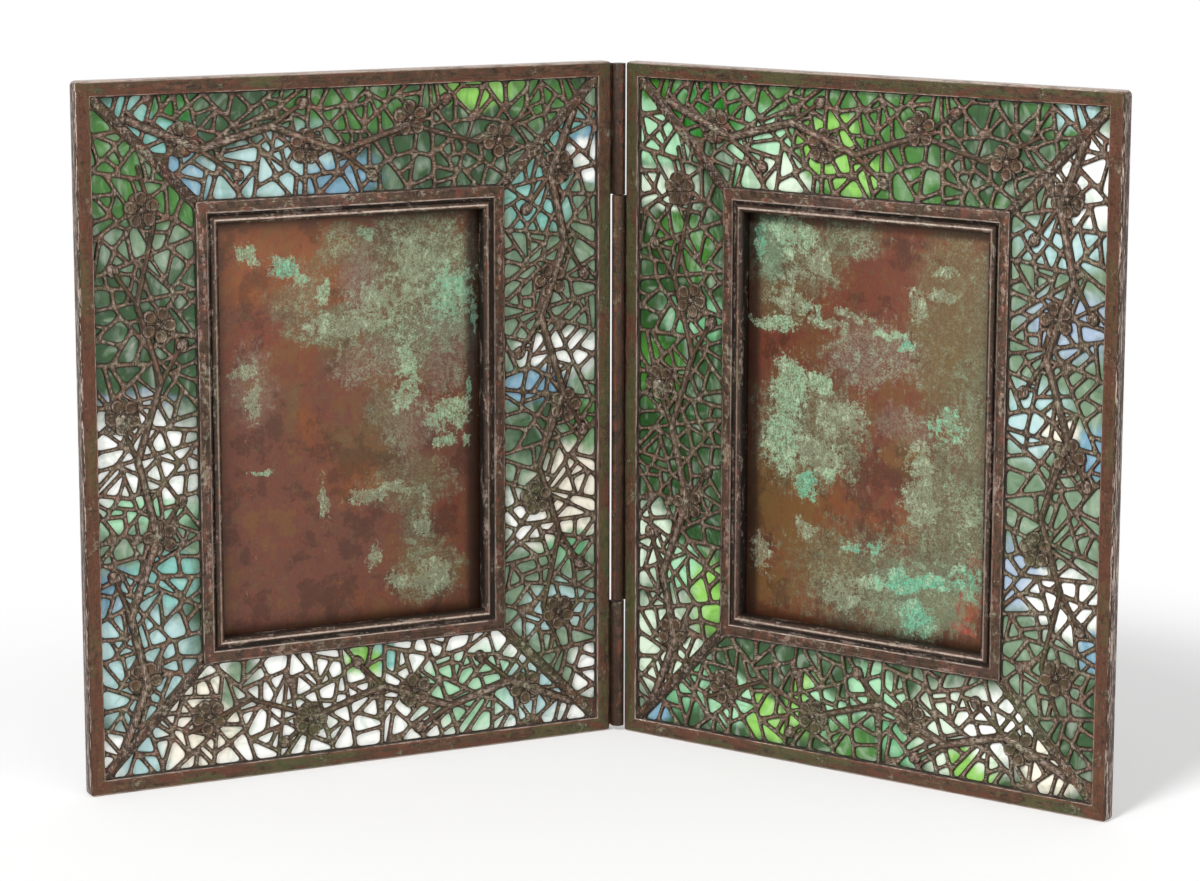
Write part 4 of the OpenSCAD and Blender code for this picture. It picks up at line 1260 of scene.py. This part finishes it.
def close_lips(shape, depth):
    """Fills the metal between the openings at one depth."""
    rows = list(closed_rows(lip_edges(shape, depth)))
    verts = [vert for row in rows for vert in row]
    number = {vert: i for i, vert in enumerate(verts)}
    plan = [(vert.co.x, vert.co.z) for vert in verts]
    outlines = [[number[vert] for vert in row] for row in rows]
    inside = 1
    filled = geometry.delaunay_2d_cdt(plan, [], outlines, inside, PLAN_TOLERANCE)
    _, _, triangles, sources, _, around = filled
    for corners, outlines_around in zip(triangles, around):
        # Metal has only the panel's outline round it, and an opening has its own as well
        if len(outlines_around) == 1:
            shape.faces.new([verts[sources[corner][0]] for corner in corners])


def longest_side(edge):
    """Length of the longest side of the faces at an edge."""
    return max(side.calc_length() for face in edge.link_faces for side in face.edges)


def etched(leaf, node):
    """A panel of the pierced sheet, with round corners and soft front edges to its openings."""
    sizes = bpy.context.scene.relief_sizes
    shape = copied(leaf, [node])
    front = min(vert.co.y for vert in shape.verts)
    back = max(vert.co.y for vert in shape.verts)
    level = [face for face in shape.faces if abs(face.normal.y) > FACES_FRONT]
    bmesh.ops.delete(shape, geom=level, context="FACES")
    flattened(shape)
    corners = [e for e in turning_edges(shape, CORNER_TURN) if longest_side(e) < leaf.border / 2]
    bevelled(shape, corners, sizes.etch_corner, 3, "PERCENT", clamped=False)
    edge_width = in_mm(sizes.etch_edge)
    lip = lip_edges(shape, front)
    lip_verts = list(dict.fromkeys(vert for edge in lip for vert in edge.verts))
    to_metal = {vert: -wall_normal(vert) for vert in lip_verts}
    bmesh.ops.extrude_edge_only(shape, edges=lip)
    for vert in lip_verts:
        new = next(e.other_vert(vert) for e in vert.link_edges if e.calc_length() < NO_LENGTH)
        new.co += to_metal[vert] * edge_width
        vert.co.y = front + edge_width
    close_lips(shape, front)
    close_lips(shape, back)
    return shape


def make_openwork(leaf):
    material = openwork_bronze(leaf)
    for side in SIDES:
        node = f"{leaf.name}_openwork_{side}"
        finished(
            etched(leaf, node), leaf, f"{leaf.name}_pierced_{side}", material,
            [node], smooth_turn=RELIEF_TURN
        )


def placed(spot, toward):
    """A place on the leaf with x along a direction in its plane and z to its front."""
    x = toward.normalized()
    z = Vector((0, -1, 0))
    turn = Matrix((x, z.cross(x), z)).transposed()
    return Matrix.Translation(spot) @ turn.to_4x4()


def cut_fine(shape, longest, rounds=8):
    """Cuts up edges until they are short enough to take lumps."""
    for _ in range(rounds):
        long_edges = [edge for edge in shape.edges if edge.calc_length() > longest]
        if not long_edges:
            break
        bmesh.ops.subdivide_edges(shape, edges=long_edges, cuts=1)
        bmesh.ops.triangulate(shape, faces=[face for face in shape.faces if len(face.verts) > 4])


def branch_mesh(leaf):
    """Half-round branches along the solid ones of the sheet."""
    sizes = bpy.context.scene.relief_sizes
    curve = bpy.data.curves.new("branches", "CURVE")
    curve.dimensions = "3D"
    curve.bevel_depth = in_mm(sizes.branch) / 2
    curve.bevel_resolution = 2
    curve.use_fill_caps = True
    for side in SIDES:
        seen = leaf.seen(side)
        for row in BRANCH_SHARES[seen]:
            spline = curve.splines.new("POLY")
            spline.points.add(len(row) - 1)
            for point, (along, across, thickness) in zip(spline.points, row):
                point.co = (*leaf.share_spot(seen, along, across), 1)
                point.radius = thickness
    rods = bpy.data.objects.new("branches", curve)
    mesh = bpy.data.meshes.new_from_object(rods)
    shape = bmesh.new()
    shape.from_mesh(mesh)
    bpy.data.meshes.remove(mesh)
    bpy.data.objects.remove(rods)
    bpy.data.curves.remove(curve)
    bmesh.ops.remove_doubles(shape, verts=shape.verts, dist=MERGE_DISTANCE)
    flatness = 2 * sizes.branch_rise / sizes.branch
    bmesh.ops.scale(shape, vec=(1, flatness, 1), verts=shape.verts)
    cut_fine(shape, FINE_BARK)
    for vert in shape.verts:
        bark = noise.noise_vector(vert.co * 0.5) + noise.noise_vector(vert.co * 1.4) * 0.5
        vert.co += Vector((bark.x, bark.y * 0.6, bark.z)) * in_mm(sizes.bark)
    bmesh.ops.translate(shape, vec=(0, leaf.sheet_y, 0), verts=shape.verts)
    return as_mesh(shape, "branches")


def petal_mesh():
    """A round petal, narrower towards the heart, with a rolled lip and a hollow that falls to it."""
    sizes = bpy.context.scene.relief_sizes
    radius = in_mm(sizes.petal)
    rise = in_mm(sizes.petal_rise)
    shape = bmesh.new()
    bmesh.ops.create_cone(
        shape, cap_ends=True, segments=14, radius1=radius * 1.08, radius2=radius,
        depth=rise * 0.7, matrix=Matrix.Translation((0, 0, rise * 0.35))
    )
    front = max(shape.faces, key=lambda face: face.calc_center_median().z)
    for width, height in PETAL_RINGS:
        bmesh.ops.inset_region(shape, faces=[front], thickness=radius * width, depth=rise * height)
    for vert in shape.verts:
        outward = (vert.co.x + radius) / (2 * radius)
        vert.co.y *= 0.72 + 0.34 * outward
        vert.co.z *= 0.7 + 0.4 * outward
    return as_mesh(shape, "petal")


def ball_mesh():
    shape = bmesh.new()
    bmesh.ops.create_uvsphere(shape, u_segments=12, v_segments=8, radius=1)
    return as_mesh(shape, "ball")


def add_copy(shape, mesh, place, sizes=(1, 1, 1)):
    """Adds a copy of a mesh, stretched and then placed, and gives back its vertices."""
    shape.from_mesh(mesh)
    shape.verts.ensure_lookup_table()
    verts = shape.verts[-len(mesh.vertices):]
    bmesh.ops.transform(shape, matrix=place @ Matrix.Diagonal((*sizes, 1)), verts=verts)
    return verts


def blossom_mesh(petal, ball):
    """Five petals round a heart with stamens, in the plane of x and y."""
    sizes = bpy.context.scene.relief_sizes
    out = in_mm(sizes.petal_out)
    rise = in_mm(sizes.petal_rise)
    shape = bmesh.new()

    def outward(angle, distance):
        return Matrix.Rotation(angle, 4, "Z") @ Matrix.Translation((distance, 0, 0))

    for k in range(PETALS):
        angle = 2 * math.pi * k / PETALS
        add_copy(shape, petal, outward(angle, out))
        for swerve, reach in STAMENS:
            stamen = angle + swerve * 2 * math.pi / PETALS
            stalk = (out * reach * 0.45, 0.2, rise * 0.95)
            add_copy(shape, ball, outward(stamen, out * reach * 0.55), stalk)
            add_copy(shape, ball, outward(stamen, out * reach), (0.34, 0.34, rise * 1.25))
    add_copy(shape, ball, Matrix(), (out * 0.24, out * 0.24, rise * 1.6))
    return as_mesh(shape, "blossom")


def add_bud(shape, ball, leaf, spot, toward):
    """A bud at the end of a twig, held in two sepals."""
    radius = in_mm(bpy.context.scene.relief_sizes.bud)
    place = placed(spot + Vector((0, leaf.sheet_y, 0)), toward)
    add_copy(shape, ball, place, (radius * 1.05, radius * 0.86, 0.78))
    for side in (1, -1):
        sepal = place @ Matrix.Translation((-radius * 0.5, side * radius * 0.55, 0))
        turned = sepal @ Matrix.Rotation(side * SEPAL_TURN, 4, "Z")
        add_copy(shape, ball, turned, (radius * 0.8, radius * 0.4, 0.7))


def make_relief(leaf):
    shape = bmesh.new()
    branches, petal, ball = branch_mesh(leaf), petal_mesh(), ball_mesh()
    blossom = blossom_mesh(petal, ball)
    shape.from_mesh(branches)
    for side in SIDES:
        seen = leaf.seen(side)
        spin = -1 if seen in ("left", "top") else 1
        inward = leaf.spot(seen, 0, 1) - leaf.spot(seen, 0, 0)
        for along_share, border_share, degrees in BLOSSOM_SHARES[seen]:
            heart = leaf.share_spot(seen, along_share, border_share) + Vector((0, leaf.sheet_y, 0))
            turn = Matrix.Rotation(math.radians(degrees * spin), 4, "Z")
            add_copy(shape, blossom, placed(heart, inward) @ turn)
        for twig in BRANCH_SHARES[seen][1:]:
            before, end = (leaf.share_spot(seen, *point[:2]) for point in twig[-2:])
            add_bud(shape, ball, leaf, end, end - before)
    for mesh in (branches, petal, ball, blossom):
        bpy.data.meshes.remove(mesh)
    finished(
        shape, leaf, f"{leaf.name}_relief", relief_bronze(leaf),
        smooth_turn=RELIEF_TURN
    )


def add_solder(shape, leaf):
    """A lump of solder where each corner seam meets the window's moulding."""
    radius = in_mm(bpy.context.scene.relief_sizes.solder)
    ball = ball_mesh()
    for across, x in ((1, leaf.border), (-1, leaf.width - leaf.border)):
        for up, z in ((1, leaf.border), (-1, leaf.height - leaf.border)):
            outward = Vector((-across, 0, -up)).normalized()
            size = radius * (1 if up < 0 else 0.7)
            spot = Vector((x, leaf.sheet_y, z)) + outward * size * 0.6
            lump = add_copy(shape, ball, placed(spot, outward), (size, size * 0.62, size * 0.55))
            for vert in lump:
                vert.co += noise.noise_vector(vert.co * 0.9) * size * 0.25
    bpy.data.meshes.remove(ball)


def make_seams(leaf):
    sizes = bpy.context.scene.relief_sizes
    node = f"{leaf.name}_seam_bars"
    shape = rounded_copy(leaf, [node], in_mm(sizes.seam_edge), 3)
    cut_fine(shape, FINE_SEAM)
    for vert in shape.verts:
        if vert.co.y < leaf.sheet_y - 0.05:
            rise = noise.noise(vert.co * 0.42) + 0.5 * noise.noise(vert.co * 1.1)
            vert.co.y -= rise * in_mm(sizes.seam_lump)
    add_solder(shape, leaf)
    finished(
        shape, leaf, f"{leaf.name}_seams", seam_bronze(leaf), [node],
        smooth_turn=SOLDER_TURN
    )


def make_glass(leaf):
    """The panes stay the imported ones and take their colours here."""
    for side in SIDES:
        pane = frame["nodes"][f"{leaf.name}_glass_{side}"]
        pane.data.materials.clear()
        pane.data.materials.append(opal_glass(leaf, side))


def make_rails(leaf):
    material = aged_brass(leaf, "rail_brass")
    width = in_mm(bpy.context.scene.relief_sizes.plate_edge)
    for side in ("bottom", "outer", "hinge"):
        node = f"{leaf.name}_rail_{side}"
        shape = rounded_copy(leaf, [node], width)
        finished(shape, leaf, f"{leaf.name}_guide_{side}", material, [node])


def make_plate(leaf):
    node = f"{leaf.name}_back_plate"
    shape = rounded_copy(leaf, [node], in_mm(bpy.context.scene.relief_sizes.plate_edge))
    window = [v.co.y for v in shape.verts if leaf.border < v.co.z < leaf.height - leaf.border]
    material = aged_copper(leaf, min(window))
    name, body = f"{leaf.name}_copper", f"{leaf.name}_plate"
    finished(shape, leaf, name, material, [node], body)


def make_hinge():
    left, right = Leaf("left"), Leaf("right")
    dark = knuckle_bronze(left, "hinge_dark", "umber")
    light = knuckle_bronze(right, "hinge_light", "brown")
    pin = aged_brass(left, "hinge_pin")
    width = in_mm(bpy.context.scene.relief_sizes.knuckle_edge)
    for node, leaf, material in (
        ("upper_knuckle", left, dark),
        ("lower_knuckle", left, dark),
        ("middle_knuckle", right, light),
        ("hinge_pin", left, pin),
    ):
        shape = rounded_copy(leaf, [node], width)
        finished(shape, leaf, f"{node}_worn", material, [node])


def seen_as_white(nodes):
    """1 for rays that look at the background: the camera's, reflections and those through glass."""
    rays = ("Is Camera Ray", "Is Glossy Ray", "Is Transmission Ray")
    camera, glossy, through = [nodes.add("LightPath", out=ray) for ray in rays]
    return nodes.most(camera, nodes.most(glossy, through))


def make_world(settings):
    world = bpy.data.worlds.new("studio")
    bpy.context.scene.world = world
    nodes = Nodes(world)
    ambient = nodes.add("Background", None, {"Color": WHITE, "Strength": settings.ambient})
    backdrop = nodes.add("Background", None, {"Color": WHITE, "Strength": 1.0})
    both = nodes.add("MixShader", None, {0: seen_as_white(nodes), 1: ambient, 2: backdrop})
    nodes.add("OutputWorld", None, {"Surface": both})


def make_floor(settings):
    """A pale floor that takes the shadow and fades to white away from the object."""
    nodes = Nodes(bpy.data.materials.new("floor"))
    place = nodes.add("TexCoord", out="Object")
    away = nodes.vectors("LENGTH", place, out="Value")
    grain = nodes.noise(place, 260)
    colour = nodes.mix(grain * 0.03, settings.floor_colour, FLOOR_GRAIN)
    sockets = {"Base Color": colour, "Roughness": 0.9, "Specular IOR Level": 0.1}
    ground = nodes.add("BsdfPrincipled", None, sockets)
    glow = nodes.add("Emission", None, {"Color": WHITE, "Strength": 1.0})
    fade = nodes.most(nodes.step(away, settings.fade_start, settings.fade_end), LEAST_FADE)
    far = fade * seen_as_white(nodes)
    both = nodes.add("MixShader", None, {0: far, 1: ground, 2: glow})
    nodes.add("OutputMaterial", None, {"Surface": both})
    shape = bmesh.new()
    bmesh.ops.create_grid(shape, x_segments=2, y_segments=2, size=settings.floor_reach)
    floor = shown("floor", as_mesh(shape, "floor"))
    floor.data.materials.append(nodes.owner)
    floor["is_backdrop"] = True


def add_sun(name, strength, spread, turn):
    lamp = bpy.data.lights.new(name, "SUN")
    lamp.energy = strength
    lamp.angle = spread
    shown(name, lamp).rotation_euler = turn


def add_camera(settings):
    data = bpy.data.cameras.new("camera")
    data.sensor_width = SENSOR_WIDTH
    data.lens = settings.lens
    camera = shown("camera", data)
    camera.location = settings.camera_place
    camera.rotation_euler = settings.camera_turn
    bpy.context.scene.camera = camera


def on_both_leaves(make):
    """Makes a piece for the left leaf and then for the right one."""
    for name in LEAVES:
        make(Leaf(name))
    return {"FINISHED"}


class MakeRims(bpy.types.Operator):
    """Rims of both leaves, worn along their edges."""

    bl_idname = "photo_frame.rims"
    bl_label = "Rims"

    def execute(self, context):
        return on_both_leaves(make_rim)


class MakeOpenwork(bpy.types.Operator):
    """Pierced panels of both borders."""

    bl_idname = "photo_frame.openwork"
    bl_label = "Pierced borders"

    def execute(self, context):
        return on_both_leaves(make_openwork)


class MakeRelief(bpy.types.Operator):
    """Branches, blossoms and buds raised on the borders."""

    bl_idname = "photo_frame.relief"
    bl_label = "Flowering branches"

    def execute(self, context):
        return on_both_leaves(make_relief)


class MakeSeams(bpy.types.Operator):
    """Solder over the corner seams."""

    bl_idname = "photo_frame.seams"
    bl_label = "Corner seams"

    def execute(self, context):
        return on_both_leaves(make_seams)


class MakeMouldings(bpy.types.Operator):
    """Mouldings round both windows."""

    bl_idname = "photo_frame.mouldings"
    bl_label = "Window mouldings"

    def execute(self, context):
        return on_both_leaves(make_moulding)


class MakeGlass(bpy.types.Operator):
    """Opal glass behind the borders."""

    bl_idname = "photo_frame.glass"
    bl_label = "Opal glass"

    def execute(self, context):
        return on_both_leaves(make_glass)


class MakeRails(bpy.types.Operator):
    """Rails at the back of both leaves."""

    bl_idname = "photo_frame.rails"
    bl_label = "Plate rails"

    def execute(self, context):
        return on_both_leaves(make_rails)


class MakePlates(bpy.types.Operator):
    """Copper back plates."""

    bl_idname = "photo_frame.plates"
    bl_label = "Back plates"

    def execute(self, context):
        return on_both_leaves(make_plate)


class MakeHinge(bpy.types.Operator):
    """Knuckles and pin of the hinge."""

    bl_idname = "photo_frame.hinge"
    bl_label = "Hinge"

    def execute(self, context):
        make_hinge()
        return {"FINISHED"}


class MakeStage(bpy.types.Operator):
    """Floor, light and camera."""

    bl_idname = "photo_frame.stage"
    bl_label = "Stage"

    def execute(self, context):
        settings = context.scene.stage_settings
        context.scene.view_settings.view_transform = "Standard"
        make_world(settings)
        make_floor(settings)
        add_sun("key", settings.key, settings.key_spread, settings.key_turn)
        add_sun("fill", settings.fill, settings.fill_spread, settings.fill_turn)
        add_camera(settings)
        return {"FINISHED"}


makers = (
    MakeRims, MakeOpenwork, MakeRelief, MakeSeams, MakeMouldings, MakeGlass, MakeRails, MakePlates,
    MakeHinge, MakeStage,
)


class FramePanel(bpy.types.Panel):
    """Steps of the photo frame."""

    bl_idname = "VIEW3D_PT_photo_frame"
    bl_label = "Photo Frame"
    bl_space_type = "VIEW_3D"
    bl_region_type = "UI"
    bl_category = "Photo Frame"

    def draw(self, context):
        for maker in makers:
            self.layout.operator(maker.bl_idname)


settings_groups = {
    "leaf_sizes": LeafSizes,
    "relief_sizes": ReliefSizes,
    "bronze_colours": BronzeColours,
    "glass_colours": GlassColours,
    "plate_colours": PlateColours,
    "stage_settings": StageSettings,
}
classes = (*settings_groups.values(), *makers, FramePanel)


def register():
    for made_class in classes:
        bpy.utils.register_class(made_class)
    for name, group in settings_groups.items():
        setattr(bpy.types.Scene, name, bpy.props.PointerProperty(type=group))


def unregister():
    for name in settings_groups:
        delattr(bpy.types.Scene, name)
    for made_class in reversed(classes):
        bpy.utils.unregister_class(made_class)


def main():
    register()
    for maker in makers:
        family, step = maker.bl_idname.split(".")
        getattr(getattr(bpy.ops, family), step)()
    bpy.context.view_layer.update()
    boxes = {"cad": CAD_BOX, "visual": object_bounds()}
    {name: [list(corner) for corner in box] for name, box in boxes.items()}


if __name__ == "__main__":
    main()
